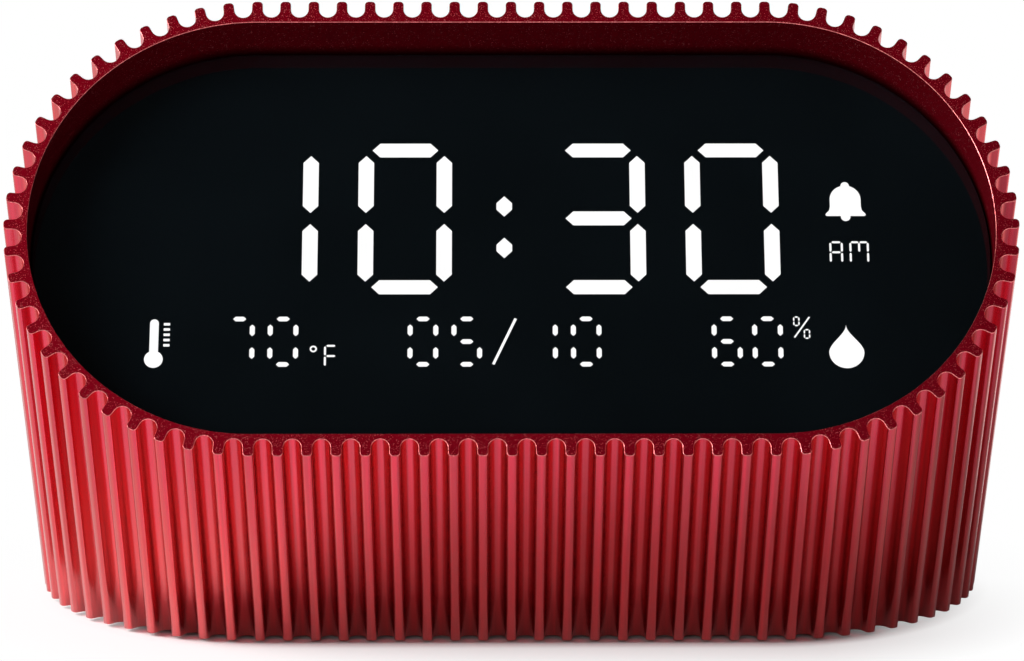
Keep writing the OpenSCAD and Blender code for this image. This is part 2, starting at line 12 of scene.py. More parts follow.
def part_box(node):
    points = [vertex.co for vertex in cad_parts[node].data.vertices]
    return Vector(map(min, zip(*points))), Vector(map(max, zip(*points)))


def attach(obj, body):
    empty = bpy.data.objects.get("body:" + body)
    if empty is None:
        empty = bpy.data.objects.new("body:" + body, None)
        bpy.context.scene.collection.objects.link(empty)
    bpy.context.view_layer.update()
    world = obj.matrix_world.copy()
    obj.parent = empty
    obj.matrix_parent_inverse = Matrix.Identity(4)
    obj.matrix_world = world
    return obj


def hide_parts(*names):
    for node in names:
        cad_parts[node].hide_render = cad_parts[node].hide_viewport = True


bl_info = {
    "name": "Ribbed desk clock",
    "version": (1, 0, 0),
    "blender": (4, 5, 0),
    "location": "3D View > Sidebar > Clock",
    "description": "Builds the looks of a ribbed desk clock around its packed model",
    "category": "Object",
}

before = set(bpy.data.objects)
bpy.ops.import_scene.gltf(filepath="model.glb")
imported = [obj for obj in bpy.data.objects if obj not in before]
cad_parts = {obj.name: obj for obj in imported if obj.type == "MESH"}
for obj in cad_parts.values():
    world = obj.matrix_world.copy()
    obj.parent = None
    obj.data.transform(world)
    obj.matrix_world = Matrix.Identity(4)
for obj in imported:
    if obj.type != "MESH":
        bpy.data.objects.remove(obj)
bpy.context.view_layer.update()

MM = 0.001
# Points closer than this are one point
MERGE = 1e-6
# Edges sharper than this stay sharp when a piece is shaded smooth
SHARP = math.radians(32)
# Faces closer in angle than this are one flat face of a packed piece
FLAT = math.radians(1)
# Edges of a packed piece sharper than this are rounded
ROUNDED = math.radians(40)
# Distance from node to node in the editor
NODE_STEP = 180
GEOMETRY, FLOAT, INT = "NodeSocketGeometry", "NodeSocketFloat", "NodeSocketInt"
VECTOR, OBJECT, MATERIAL = "NodeSocketVector", "NodeSocketObject", "NodeSocketMaterial"
Y_AXIS, Z_AXIS = Vector((0, 1, 0)), Vector((0, 0, 1))
BODY = "clock_body"

SHELL_LOW, SHELL_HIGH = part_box("body_shell")
COVER_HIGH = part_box("back_cover")[1]


# Properties

def length(name, size, text):
    """A length whose default is given in millimetres."""
    return FloatProperty(name=name, description=text, default=size * MM,
                         unit="LENGTH", precision=5)


def angle(name, degrees, text):
    """An angle whose default is given in degrees."""
    return FloatProperty(name=name, description=text, default=math.radians(degrees),
                         subtype="ANGLE")


def count(name, number, text):
    """A number of like things."""
    return IntProperty(name=name, description=text, default=number, min=1)


def ratio(name, value, text):
    """A plain number."""
    return FloatProperty(name=name, description=text, default=value, min=0)


def tint(name, colour, text):
    """A linear colour."""
    return FloatVectorProperty(name=name, description=text, default=colour,
                               subtype="COLOR", size=3, min=0, max=1)


def spot(name, place, text):
    """A place whose default is given in millimetres."""
    return FloatVectorProperty(name=name, description=text, size=3, unit="LENGTH",
                               subtype="TRANSLATION", default=[v * MM for v in place])


class ShellSizes(bpy.types.PropertyGroup):
    """The ribbed tube."""

    rib_pitch: length("Rib pitch", 4, "Distance from rib to rib on the flat sides")
    flat_ribs: count("Flat ribs", 18, "Rib pitches along each flat side")
    end_ribs: count("End ribs", 26, "Rib pitches round each end")
    tip_radius: length("Tip radius", 34.7, "From the middle of an end to the rib tips")
    rib_height: length("Rib height", 2.5, "From the bottom of a groove to the tips")
    groove_radius: length("Groove radius", 1.25, "Radius of a groove's bottom")
    rib_top: length("Rib top", 0.4, "Width of the flat on a rib's tip")
    rib_edge: length("Rib edge", 0.55, "Radius along the edges of a tip")
    wall: length("Wall", 0.8, "Metal left under a groove")
    edge_break: length("Edge break", 0.07, "Broken edge along the cut ribs")
    mouth_break: length("Mouth break", 0.06, "Broken edge along the bore")
    lean: angle("Lean", 45, "Lean of the tube")
    face_tilt: angle("Face tilt", 11.3, "Turn of the mouth cut against a square cut")
    arc_steps: count("Arc steps", 6, "Straight steps in a quarter of a rounded corner")


class DisplaySizes(bpy.types.PropertyGroup):
    """The lit display."""

    recess: length("Recess", 6.8, "Depth of the lens below the mouth")
    # Painted shade on the bore's wall above the lens: how far up it reaches, and the height
    # where it is darkest
    painted_shade_reach: length("Painted shade reach", 1.9, "How far the wall darkens above the lens")
    painted_shade_darkest: length("Darkest painted shade", 0.2, "Height of the darkest line above the lens")
    lit_height: length("Lit height", 0.04, "Height of the lit shapes above the lens")
    time_height: length("Time height", 4.26, "Middle of the large digits on the face")
    row_height: length("Row height", -14.92, "Middle of the small digits on the face")


class BackSizes(bpy.types.PropertyGroup):
    """The pieces on the back and under the foot."""

    edge: length("Moulded edge", 0.2, "Rounding of moulded edges")
    button_dish: length("Button dish", 0.3, "Depth of the hollow in a button's face")
    mark_height: length("Mark height", 0.12, "Height of the raised marks on the buttons")
    print_height: length("Print height", 0.02, "Height of the printed marks on the cover")
    print_rise: length("Print rise", 4.4, "From a control's middle up to its printed mark")
    slider_travel: length("Slider travel", 4, "From off to on")
    grip_ridges: count("Grip ridges", 3, "Ridges on the slider's knob")
    ridge_pitch: length("Ridge pitch", 1.2, "Distance from ridge to ridge")
    ridge_height: length("Ridge height", 0.3, "Height of the ridges")
    ridge_half: length("Ridge half", 0.9, "From a ridge's middle to its round end")
    ridge_radius: length("Ridge radius", 0.3, "Half the width of a ridge")
    head_radius: length("Screw head radius", 1.9, "Radius of the screw heads")
    head_height: length("Screw head height", 1.3, "Height of the screw heads")
    shank_radius: length("Screw radius", 1, "Radius of the screws over the thread")
    thread_pitch: length("Thread pitch", 0.5, "Distance from thread to thread")
    socket_contacts: count("Socket contacts", 12, "Contacts on each side of the tongue")
    contact_pitch: length("Contact pitch", 0.5, "Distance from contact to contact")
    contact_length: length("Contact length", 3.4, "Length of the contacts")
    contact_height: length("Contact height", 0.04, "Height of the contacts on the tongue")
    tongue_height: length("Tongue height", 0.7, "Thickness of the socket's tongue")
    tongue_inset: length("Tongue inset", 1.3, "From the socket's mouth to its contacts")


class Colours(bpy.types.PropertyGroup):
    """Colours that a user would change."""

    tube: tint("Tube", (0.70, 0.009, 0.06), "Anodised tube")
    # Painted highlight: pale colour of the broken edges and of the painted glints on blasted
    # grains
    tube_cut: tint("Tube ends", (0.20, 0.0016, 0.009), "Blasted ends of the tube")
    painted_highlight: tint("Tube edges", (0.82, 0.21, 0.21), "Thin colour on broken edges")
    lens: tint("Lens", (0.0018, 0.0030, 0.0039), "Tinted lens")
    lit: tint("Lit shapes", (1.0, 1.0, 1.0), "Light of the display")
    plastic: tint("Plastic", (0.018, 0.018, 0.02), "Moulded back and foot")
    marks: tint("Marks", (0.55, 0.55, 0.56), "Marks on the back")


class StageSizes(bpy.types.PropertyGroup):
    """Camera, floor and lamps."""

    camera_place: spot("Camera", (-3.3, -727.18, 147.9), "Where the camera stands")
    camera_pitch: angle("Camera pitch", 8.144, "How far the camera looks down")
    camera_yaw: angle("Camera yaw", -0.273, "Turn of the camera to the left")
    camera_lens: ratio("Focal length", 179.12, "Focal length in millimetres")
    camera_film: ratio("Film", 36, "Width of the film in millimetres")
    floor_size: length("Floor", 12000, "Side of the floor")
    contact_shadow: length("Contact shadow", 2.2, "Width of the dark line along the foot")
    shadow_fade: length("Shadow fade", 16, "Where the floor is plain white to the camera")
    mirror_start: length("Mirror start", 40, "Where the floor turns white in reflections")
    mirror_fade: length("Mirror fade", 100, "Where the floor is plain white in reflections")
    floor_colour: tint("Floor", (0.93, 0.93, 0.93), "Colour of the floor")
    key_power: ratio("Key lamp", 36, "Power of the lamp above and to the left")
    key_size: length("Key lamp size", 900, "Side of the lamp above and to the left")
    key_place: spot("Key lamp place", (-1200, -420, 820), "Where that lamp stands")
    front_power: ratio("Front lamp", 8, "Power of the lamp behind the camera")
    front_size: length("Front lamp size", 1200, "Side of the lamp behind the camera")
    front_place: spot("Front lamp place", (-300, -1900, 350), "Where that lamp stands")
    lamp_aim: spot("Lamp aim", (0, 0, 40), "What the lamps look at")


# Node trees

class Nodes:
    """Adds nodes to a tree and links them by plain calls."""

    def __init__(self, tree):
        self.tree = tree

    def add(self, kind, values=None, **settings):
        """A new node with these settings, and these values or links on its inputs."""
        node = self.tree.nodes.new(kind)
        node.location = (NODE_STEP * len(self.tree.nodes), 0)
        for key, value in settings.items():
            setattr(node, key, value)
        for key, value in (values or {}).items():
            self.put(node.inputs[key], value)
        return node

    def put(self, socket, value):
        """Links a node or socket to an input, or sets the input's own value."""
        if isinstance(value, bpy.types.Node):
            value = value.outputs[0]
        if isinstance(value, bpy.types.NodeSocket):
            self.tree.links.new(value, socket)
        elif socket.type == "RGBA":
            socket.default_value = (*value, 1.0)
        else:
            socket.default_value = value

    def math(self, operation, a, b=0.0):
        return self.add("ShaderNodeMath", {0: a, 1: b}, operation=operation).outputs[0]

    def vector(self, operation, a, b=(0.0, 0.0, 0.0)):
        node = self.add("ShaderNodeVectorMath", {0: a, 1: b}, operation=operation)
        return node.outputs["Value" if operation in ("DOT_PRODUCT", "LENGTH") else "Vector"]

    def scaled(self, vector, factor):
        values = {0: vector, "Scale": factor}
        return self.add("ShaderNodeVectorMath", values, operation="SCALE").outputs["Vector"]

    def turned(self, vector, axis, turn):
        """A vector turned about one axis, which is X, Y or Z."""
        return self.add("ShaderNodeVectorRotate", {"Vector": vector, "Angle": turn},
                        rotation_type=axis + "_AXIS").outputs[0]

    def joined(self, x, y, z):
        return self.add("ShaderNodeCombineXYZ", {0: x, 1: y, 2: z}).outputs[0]

    def parts(self, vector):
        return self.add("ShaderNodeSeparateXYZ", {0: vector}).outputs

    def ramp(self, value, low, high, to_low=0.0, to_high=1.0):
        """A value carried from one range to another, and held at its ends."""
        values = {"Value": value, "From Min": low, "From Max": high,
                  "To Min": to_low, "To Max": to_high}
        return self.add("ShaderNodeMapRange", values).outputs[0]

    def mix(self, factor, a, b):
        """A mix of two colours."""
        node = self.add("ShaderNodeMix", {0: factor, 6: a, 7: b}, data_type="RGBA")
        return node.outputs[2]

    def noise(self, vector, scale, detail=2.0, roughness=0.5):
        values = {"Vector": vector, "Scale": scale, "Detail": detail,
                  "Roughness": roughness}
        return self.add("ShaderNodeTexNoise", values).outputs[0]

    def named(self, name, kind="FLOAT"):
        """A named attribute of the geometry."""
        return self.add("GeometryNodeInputNamedAttribute", {"Name": name}, data_type=kind)

    def store(self, geometry, name, value, kind="FLOAT", domain="POINT", selection=True):
        """Geometry with a value stored under a name."""
        values = {"Geometry": geometry, "Selection": selection, "Name": name,
                  "Value": value}
        return self.add("GeometryNodeStoreNamedAttribute", values, data_type=kind,
                        domain=domain)

    def shape(self, obj):
        """The mesh of an object input."""
        return self.add("GeometryNodeObjectInfo", {"Object": obj}).outputs["Geometry"]

    def on_points(self, points, piece, **more):
        """Copies of an object input, set on points."""
        values = {"Points": points, "Instance": self.shape(piece), **more}
        return self.add("GeometryNodeInstanceOnPoints", values)

    def moved(self, geometry, **how):
        return self.add("GeometryNodeSetPosition", {"Geometry": geometry, **how})

    def realized(self, geometry):
        return self.add("GeometryNodeRealizeInstances", {"Geometry": geometry})

    def finished(self, geometry, material, selection=True):
        """Geometry with a material on its chosen faces."""
        return self.add("GeometryNodeSetMaterial", {
            "Geometry": geometry, "Selection": selection, "Material": material})

    def join(self, *parts):
        node = self.add("GeometryNodeJoinGeometry")
        for part in reversed(parts):
            self.put(node.inputs[0], part)
        return node


def emptied(holder):
    """The tree of a material or a world, with its first nodes taken out."""
    holder.use_nodes = True
    holder.node_tree.nodes.clear()
    return Nodes(holder.node_tree)


def node_group(kind, name, inputs, outputs):
    """A new tree with sockets listed by kind: its helper, what it is given and what it gives."""
    tree = bpy.data.node_groups.new(name, kind)
    for way, sockets in (("INPUT", inputs), ("OUTPUT", outputs)):
        for socket, labels in sockets.items():
            for label in labels.split(", "):
                tree.interface.new_socket(label, in_out=way, socket_type=socket)
    nodes = Nodes(tree)
    return nodes, nodes.add("NodeGroupInput").outputs, nodes.add("NodeGroupOutput").inputs


def shape_tree(name, inputs):
    """A new geometry tree with these inputs beside its geometry."""
    shape = {GEOMETRY: "Geometry"}
    return node_group("GeometryNodeTree", name, {**shape, **inputs}, shape)


def surface_group(name, inputs, outputs):
    """A new shader group that makes plain numbers out of a place and other numbers."""
    return node_group("ShaderNodeTree", name, {VECTOR: "Vector", FLOAT: inputs},
                      {FLOAT: outputs})


# Meshes and objects

def add_object(name, mesh):
    """A new object of a mesh, in the scene."""
    obj = bpy.data.objects.new(name, mesh)
    bpy.context.scene.collection.objects.link(obj)
    return obj


def middle_of(node):
    """The middle of a packed piece's box, and the box's far corner."""
    low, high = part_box(node)
    return (low + high) / 2, high


def plain_mesh(name, points, edges=(), faces=()):
    """A new mesh of points, edges and faces."""
    mesh = bpy.data.meshes.new(name)
    mesh.from_pydata(points, edges, faces)
    return mesh


def poured(built, mesh):
    """Ends a built mesh by writing it to a plain one."""
    built.to_mesh(mesh)
    built.free()
    return mesh


def from_bmesh(name, built, material=None):
    """A new object of a built mesh, merged, with its faces turned outwards."""
    bmesh.ops.remove_doubles(built, verts=built.verts, dist=MERGE)
    bmesh.ops.recalc_face_normals(built, faces=built.faces)
    mesh = poured(built, bpy.data.meshes.new(name))
    if material:
        mesh.materials.append(material)
    return add_object(name, mesh)


def made_plain(obj):
    """The object with its modifiers' result as its own mesh."""
    bpy.context.view_layer.update()
    graph = bpy.context.evaluated_depsgraph_get()
    result = bpy.data.meshes.new_from_object(
        obj.evaluated_get(graph), preserve_all_data_layers=True, depsgraph=graph)
    obj.modifiers.clear()
    obj.data = result
    result.name = obj.name
    if not result.polygons:
        raise RuntimeError(f"{obj.name} came out empty")
    return obj


def grown(name, tree, values, mesh=None):
    """A new object made by a geometry tree, as a plain mesh with outward faces."""
    obj = bpy.data.objects.new(name, mesh or bpy.data.meshes.new(name))
    modifier = obj.modifiers.new(tree.name, "NODES")
    modifier.node_group = tree
    for item in tree.interface.items_tree:
        if item.in_out == "INPUT" and item.name in values:
            modifier[item.identifier] = values[item.name]
    bpy.context.scene.collection.objects.link(obj)
    made_plain(obj)
    built = bmesh.new()
    built.from_mesh(obj.data)
    bmesh.ops.recalc_face_normals(built, faces=built.faces)
    poured(built, obj.data)
    return obj


def removed(*objects):
    """Takes out objects that only served as patterns."""
    for obj in objects:
        bpy.data.objects.remove(obj)


def smoothed(obj, sharp=SHARP):
    """Shades an object smooth up to the sharp edges."""
    obj.data.shade_smooth()
    obj.data.set_sharp_from_angle(angle=sharp)
    return obj


def seated(obj, body, slot, *replaced):
    """Puts a piece on its body and hides the nodes it stands for. Its finish's slot is not used.
    """
    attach(obj, body)
    if replaced:
        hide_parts(*replaced)
    return obj


def merged_copy(node):
    """A packed piece's mesh, merged, with its flat faces whole."""
    built = bmesh.new()
    built.from_mesh(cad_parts[node].data)
    bmesh.ops.remove_doubles(built, verts=built.verts, dist=MERGE)
    bmesh.ops.dissolve_limit(built, angle_limit=FLAT, use_dissolve_boundaries=False,
                             verts=built.verts, edges=built.edges)
    return built


def rounded_copy(node, width, body, slot):
    """A packed piece with its sharp edges rounded, in place of the plain one."""
    mesh = poured(merged_copy(node), bpy.data.meshes.new(node))
    # The packed piece's own normals would pull the rounded faces askew
    if mesh.has_custom_normals:
        mesh.attributes.remove(mesh.attributes["custom_normal"])
    mesh.materials.append(finish(slot))
    obj = add_object(node + "_rounded", mesh)
    mesh.shade_smooth()
    bevel = obj.modifiers.new("Rounded edges", "BEVEL")
    bevel.width = width
    bevel.segments = 2
    bevel.limit_method = "ANGLE"
    bevel.angle_limit = ROUNDED
    bevel.harden_normals = True
    made_plain(obj)
    return seated(obj, body, slot, node)


def solids_of(node):
    """The corner pairs of the separate solids in a packed piece."""
    built = merged_copy(node)
    left, found = set(built.verts), []
    while left:
        group, border = [], [left.pop()]
        while border:
            vert = border.pop()
            group.append(vert.co.copy())
            for edge in vert.link_edges:
                other = edge.other_vert(vert)
                if other in left:
                    left.remove(other)
                    border.append(other)
        found.append((Vector(map(min, *group)), Vector(map(max, *group))))
    built.free()
    return sorted(found, key=lambda box: tuple(box[0]))


def lathe(profile, steps):
    """A closed shape turned about Z from (radius, height) points, from pole to pole."""
    built = bmesh.new()
    rings = []
    for radius, height in profile:
        if radius == 0:
            rings.append([built.verts.new((0, 0, height))] * steps)
        else:
            turns = (2 * math.pi * i / steps for i in range(steps))
            rings.append([built.verts.new((radius * math.cos(t), radius * math.sin(t), height))
                          for t in turns])
    for low, high in zip(rings, rings[1:]):
        for i in range(steps):
            j = (i + 1) % steps
            corners = dict.fromkeys((low[i], low[j], high[j], high[i]))
            built.faces.new(corners)
    return built


def arc(centre, radius, start, end, steps):
    """Points on an arc, from one angle in degrees to another."""
    turns = (math.radians(start + (end - start) * i / steps) for i in range(steps + 1))
    return [(centre[0] + radius * math.cos(t), centre[1] + radius * math.sin(t)) for t in turns]


class Plates:
    """Flat plates of one height on one plane, gathered in one mesh."""

    def __init__(self, plane, height):
        self.built = bmesh.new()
        self.plane = plane
        self.height = height

    def corners(self, outline, height):
        return [self.built.verts.new(self.plane @ Vector((x, y, height))) for x, y in outline]

    def plate(self, outline):
        """A plate with this outline."""
        low, high = self.corners(outline, 0), self.corners(outline, self.height)
        self.built.faces.new(low)
        self.built.faces.new(high)
        self.walls(low, high)

    def walls(self, low, high):
        for i in range(len(low)):
            self.built.faces.new((low[i - 1], low[i], high[i], high[i - 1]))

    def ring(self, centre, outer, inner, steps=32):
        """A flat ring."""
        loops = []
        for radius in (outer, inner):
            outline = arc(centre, radius, 0, 360, steps)[:-1]
            loops.append((self.corners(outline, 0), self.corners(outline, self.height)))
        (low, high), (low_in, high_in) = loops
        self.walls(low, high)
        self.walls(low_in, high_in)
        self.walls(low, low_in)
        self.walls(high, high_in)

    def bar(self, start, end, width):
        """A straight bar between two points."""
        along = (Vector(end) - Vector(start)).normalized() * width / 2
        side = Vector((-along.y, along.x))
        self.plate([Vector(start) - side, Vector(end) - side,
                    Vector(end) + side, Vector(start) + side])


def rows_tree():
    """Like pieces set in rows, each a step from the last."""
    nodes, given, out = shape_tree("Rows of like pieces", {
        OBJECT: "Piece", INT: "Columns, Rows", VECTOR: "First, Column step, Row step",
        MATERIAL: "Finish"})
    total = nodes.math("MULTIPLY", given["Columns"], given["Rows"])
    index = nodes.add("GeometryNodeInputIndex")
    row = nodes.math("FLOOR", nodes.math("DIVIDE", index, given["Columns"]))
    column = nodes.math("MODULO", index, given["Columns"])
    along = nodes.vector("ADD", nodes.scaled(given["Column step"], column),
                         nodes.scaled(given["Row step"], row))
    points = nodes.add("GeometryNodeMeshLine", {"Count": total, "Offset": (0.0, 0.0, 0.0),
                                                "Start Location": given["First"]})
    pieces = nodes.on_points(nodes.moved(points, Offset=along), given["Piece"])
    pieces = nodes.realized(pieces)
    nodes.put(out["Geometry"], nodes.finished(pieces, given["Finish"]))
    return nodes.tree


# Inset and level of a ridge's outlines, as shares of its radius and its height
RIDGE_OUTLINES = ((0.0, 0.0), (0.1, 0.5), (0.3, 0.85), (0.6, 1.0))


def ridge(half, radius, height, plane):
    """A long low ridge with round ends and a rounded top, standing on a plane."""
    plates = Plates(plane, height)
    loops = []
    for inset, level in RIDGE_OUTLINES:
        thin = radius * (1 - inset)
        outline = arc((0, half), thin, 0, 180, 6) + arc((0, -half), thin, 180, 360, 6)
        loops.append(plates.corners(outline, height * level))
    for low, high in zip(loops, loops[1:]):
        plates.walls(low, high)
    plates.built.faces.new(loops[0])
    plates.built.faces.new(loops[-1])
    return plates.built


def bell_outline(foot, height):
    """A bell with its knob and clapper, from the middle of its foot to a height."""
    unit = height / 5.34
    right = (arc((0, -0.12), 0.68, 270, 370, 8) + arc((2.6, 0.22), 0.22, 270, 400, 6)
             + [(2.3, 0.9), (2.18, 1.5)] + arc((0, 2.6), 2.18, 0, 74, 10)
             + arc((0, 4.74), 0.6, -20, 90, 8))
    whole = right + [(-x, y) for x, y in reversed(right[1:-1])]
    return [(foot[0] + x * unit, foot[1] + y * unit) for x, y in whole]


def drop_outline(tip, width, shoulder, steps=16):
    """A drop under its tip, with hollow sides down to its round belly."""
    x, y = tip
    side = []
    for i in range(1, steps):
        t = i / steps
        side.append((width / 2 * t * t * (3 - 2 * t), y - shoulder * t))
    belly = arc((0, y - shoulder), width / 2, 180, 360, 2 * steps)
    whole = [(0, y)] + [(-w, h) for w, h in side] + belly + side[::-1]
    return [(x + w, h) for w, h in whole]


# Finishes

def moulded_grain():
    """Fine even grain of a moulded or cast surface."""
    nodes, given, out = surface_group("Moulded grain", "Size", "Height, Mask")
    fine = nodes.math("DIVIDE", 1.0, given["Size"])
    broad = nodes.math("DIVIDE", fine, 30.0)
    grain = nodes.noise(given["Vector"], fine, 2.0, 0.6)
    nodes.put(out["Height"], nodes.ramp(grain, 0.3, 0.7))
    nodes.put(out["Mask"], nodes.ramp(nodes.noise(given["Vector"], broad, 3.0), 0.3, 0.7))
    return nodes.tree


def drawn_lines():
    """Fine lines along one direction, as a die or a brush leaves them."""
    nodes, given, out = surface_group("Drawn lines", "Turn, Width, Length", "Height, Mask")
    straight = nodes.turned(given["Vector"], "X", nodes.math("MULTIPLY", given["Turn"], -1.0))
    widths = nodes.joined(given["Width"], given["Width"], given["Length"])
    lines = nodes.vector("DIVIDE", straight, widths)
    nodes.put(out["Height"], nodes.ramp(nodes.noise(lines, 1.0, 3.0, 0.6), 0.25, 0.75))
    nodes.put(out["Mask"], nodes.ramp(nodes.noise(lines, 0.2, 2.0), 0.35, 0.65))
    return nodes.tree


def handling():
    """Soft smudges and dust that change how rough a surface is."""
    nodes, given, out = surface_group("Handling", "Size, Low, High", "Roughness, Mask")
    scale = nodes.math("DIVIDE", 1.0, given["Size"])
    smudge = nodes.ramp(nodes.noise(given["Vector"], scale, 5.0, 0.65), 0.35, 0.65)
    nodes.put(out["Roughness"], nodes.ramp(smudge, 0.0, 1.0, given["Low"], given["High"]))
    nodes.put(out["Mask"], smudge)
    return nodes.tree


def blasted_speckle():
    """Small facets of a blasted surface: a bump, and a random share of grains that gets a
    painted glint.
    """
    nodes, given, out = surface_group("Blasted speckle", "Size, Share", "Height, Sparkle")
    scale = nodes.math("DIVIDE", 1.0, given["Size"])
    cells = nodes.add("ShaderNodeTexVoronoi", {"Vector": given["Vector"], "Scale": scale})
    chance = nodes.parts(cells.outputs["Color"])[0]
    edge = nodes.math("SUBTRACT", 1.0, given["Share"])
    nodes.put(out["Sparkle"], nodes.ramp(chance, edge, 1.0))
    nodes.put(out["Height"], nodes.noise(given["Vector"], scale, 3.0, 0.7))
    return nodes.tree


GROUPS = {}


def shared(maker):
    """A shared node group, built once."""
    if maker not in GROUPS:
        GROUPS[maker] = maker()
    return GROUPS[maker]


class Finish(Nodes):
    """A material with one Principled shader and Object coordinates, and its nodes."""

    def __init__(self, name, colour, roughness, fixed=None):
        self.material = bpy.data.materials.new(name)
        self.material.use_nodes = True
        super().__init__(self.material.node_tree)
        self.shader = self.tree.nodes["Principled BSDF"]
        self.place = self.add("ShaderNodeTexCoord").outputs["Object"]
        self.set("Base Color", colour)
        self.set("Roughness", roughness)
        for key, value in (fixed or {}).items():
            self.set(key, value)

    def set(self, key, value):
        self.put(self.shader.inputs[key], value)

    def use(self, maker, **values):
        """The outputs of a shared group, placed with its own values."""
        inputs = {"Vector": self.place, **{key.capitalize(): v for key, v in values.items()}}
        return self.add("ShaderNodeGroup", inputs, node_tree=shared(maker)).outputs

    def bump(self, height, depth, strength=1.0):
        values = {"Height": height, "Distance": depth, "Strength": strength}
        self.set("Normal", self.add("ShaderNodeBump", values))

    def shaded(self, mask, colour, low, high):
        """Base colour that a mask moves between a darker and a lighter shade."""
        dark, pale = (tuple(min(c * f, 1.0) for c in colour) for f in (low, high))
        self.set("Base Color", self.mix(mask, dark, pale))

    def handled(self, size, low, high):
        self.set("Roughness", self.use(handling, size=size, low=low, high=high)["Roughness"])


def colours():
    return bpy.context.scene.clock_colours


def moulded(name, colour, roughness, size, depth, spread=0.2):
    """Moulded plastic, rubber, resin or foam with an even grain."""
    if isinstance(colour, str):
        colour = getattr(colours(), colour)
    made = Finish(name, colour, roughness)
    grain = made.use(moulded_grain, size=size * MM)
    made.shaded(grain["Mask"], colour, 1 - spread, 1 + spread)
    made.handled(18 * MM, roughness * 0.85, min(roughness * 1.15, 1.0))
    made.bump(grain["Height"], depth * MM)
    return made.material


def drawn_metal(name, colour, roughness, turn=0.0):
    """Bare or plated metal with fine drawn lines."""
    made = Finish(name, colour, roughness, {"Metallic": 1.0})
    lines = made.use(drawn_lines, turn=turn, width=0.08 * MM, length=6 * MM)
    made.shaded(lines["Mask"], colour, 0.85, 1.1)
    made.handled(6 * MM, roughness * 0.8, roughness * 1.3)
    made.bump(lines["Height"], 0.004 * MM)
    return made.material


def anodised_side():
    """Ribs of the tube: red satin metal under a clear oxide, with die lines."""
    red = colours().tube
    lean = bpy.context.scene.clock_shell.lean
    made = Finish("anodised_side", red, 0.24, {
        "Metallic": 1.0, "Specular Tint": (0.8, 0.01, 0.03), "Coat Weight": 0.9,
        "Coat Roughness": 0.2, "Coat IOR": 1.6})
    lines = made.use(drawn_lines, turn=lean, width=0.14 * MM, length=60 * MM)
    made.shaded(lines["Mask"], red, 0.85, 1.12)
    made.handled(14 * MM, 0.22, 0.27)
    grains = made.use(blasted_speckle, size=0.12 * MM, share=0.3)
    fine = made.math("MULTIPLY", grains["Height"], 0.5)
    made.bump(made.math("ADD", lines["Height"], fine), 0.006 * MM)
    return made.material


def blasted(name, colour, roughness, size, share, fixed):
    """Blasted red metal, and the mask of its grains that get a painted glint."""
    made = Finish(name, colour, roughness, fixed)
    speckle = made.use(blasted_speckle, size=size * MM, share=share)
    made.bump(speckle["Height"], 0.02 * MM)
    return made, speckle["Sparkle"]


# Painted shade of the bore: how dark its red is against the cut ends, how dark its painted
# glints are against the painted highlight of the edges, and how dark the painted shade
# above the lens is against the bore's red
BORE_PAINTED_SHADE, BORE_GLINT_PAINTED_SHADE, LENS_PAINTED_SHADE = 0.27, 0.3, 0.15


def anodised_bore():
    """Inner wall of the tube: painted shade of the recess in its dark red, painted glints on a
    few grains, and more painted shade where it meets the lens.
    """
    # Painted shade of the recess: the bore's red is a small share of the cut ends' red
    red = tuple(BORE_PAINTED_SHADE * c for c in colours().tube_cut)
    pale = tuple(BORE_GLINT_PAINTED_SHADE * c for c in colours().painted_highlight)
    # Painted shade above the lens: a darker copy of the bore's red
    dark = tuple(LENS_PAINTED_SHADE * c for c in red)
    made, painted_glint = blasted("anodised_bore", red, 0.5, 0.09, 0.04, {
        "Metallic": 0.2, "Specular IOR Level": 0.0, "Specular Tint": (0.7, 0.02, 0.05)})
    display = bpy.context.scene.clock_display
    face = face_plane(bpy.context.scene.clock_shell, display.recess)
    # Painted shade: the wall darkens towards the lens, by its height above the lens
    above = made.vector("SUBTRACT", made.place, face.translation)
    height = made.vector("DOT_PRODUCT", above, face.col[2].to_3d())
    lens_painted_shade = made.ramp(height, display.painted_shade_reach, display.painted_shade_darkest)
    # Painted glints on a few grains of the bore
    wall = made.mix(painted_glint, red, pale)
    made.set("Base Color", made.mix(lens_painted_shade, wall, dark))
    made.handled(14 * MM, 0.45, 0.55)
    return made.material


def blasted_cut():
    """Cut ends of the tube: blasted, with a painted glint on small grains, which are also
    smoother.
    """
    red, pale = colours().tube_cut, colours().painted_highlight
    made, painted_glint = blasted("blasted_cut", red, 0.6, 0.09, 0.09, {
        "Metallic": 1.0, "Specular Tint": (0.7, 0.02, 0.05)})
    # Painted glint: a share of grains takes the paler highlight colour, and is smoother
    made.set("Base Color", made.mix(painted_glint, red, pale))
    made.set("Roughness", made.ramp(painted_glint, 0.0, 1.0, 0.62, 0.35))
    return made.material


def bright_edge():
    """Broken edges of the tube, in a pale colour that is a painted highlight."""
    pale = colours().painted_highlight
    made, painted_glint = blasted("bright_edge", pale, 0.3, 0.25, 0.7, {
        "Metallic": 1.0, "Specular Tint": (1.0, 0.45, 0.42)})
    # Painted highlight on the edges, paler still on grains with a painted glint
    made.shaded(painted_glint, pale, 0.6, 1.2)
    made.handled(3 * MM, 0.24, 0.34)
    return made.material


def tinted_lens():
    """Dark glossy panel over the display."""
    dark = colours().lens
    made = Finish("tinted_lens", dark, 0.05, {
        "IOR": 1.49, "Coat Weight": 1.0, "Coat IOR": 1.65, "Coat Roughness": 0.06})
    smudge = made.use(handling, size=25 * MM, low=0.03, high=0.09)
    made.set("Roughness", smudge["Roughness"])
    made.shaded(smudge["Mask"], dark, 0.9, 1.2)
    return made.material


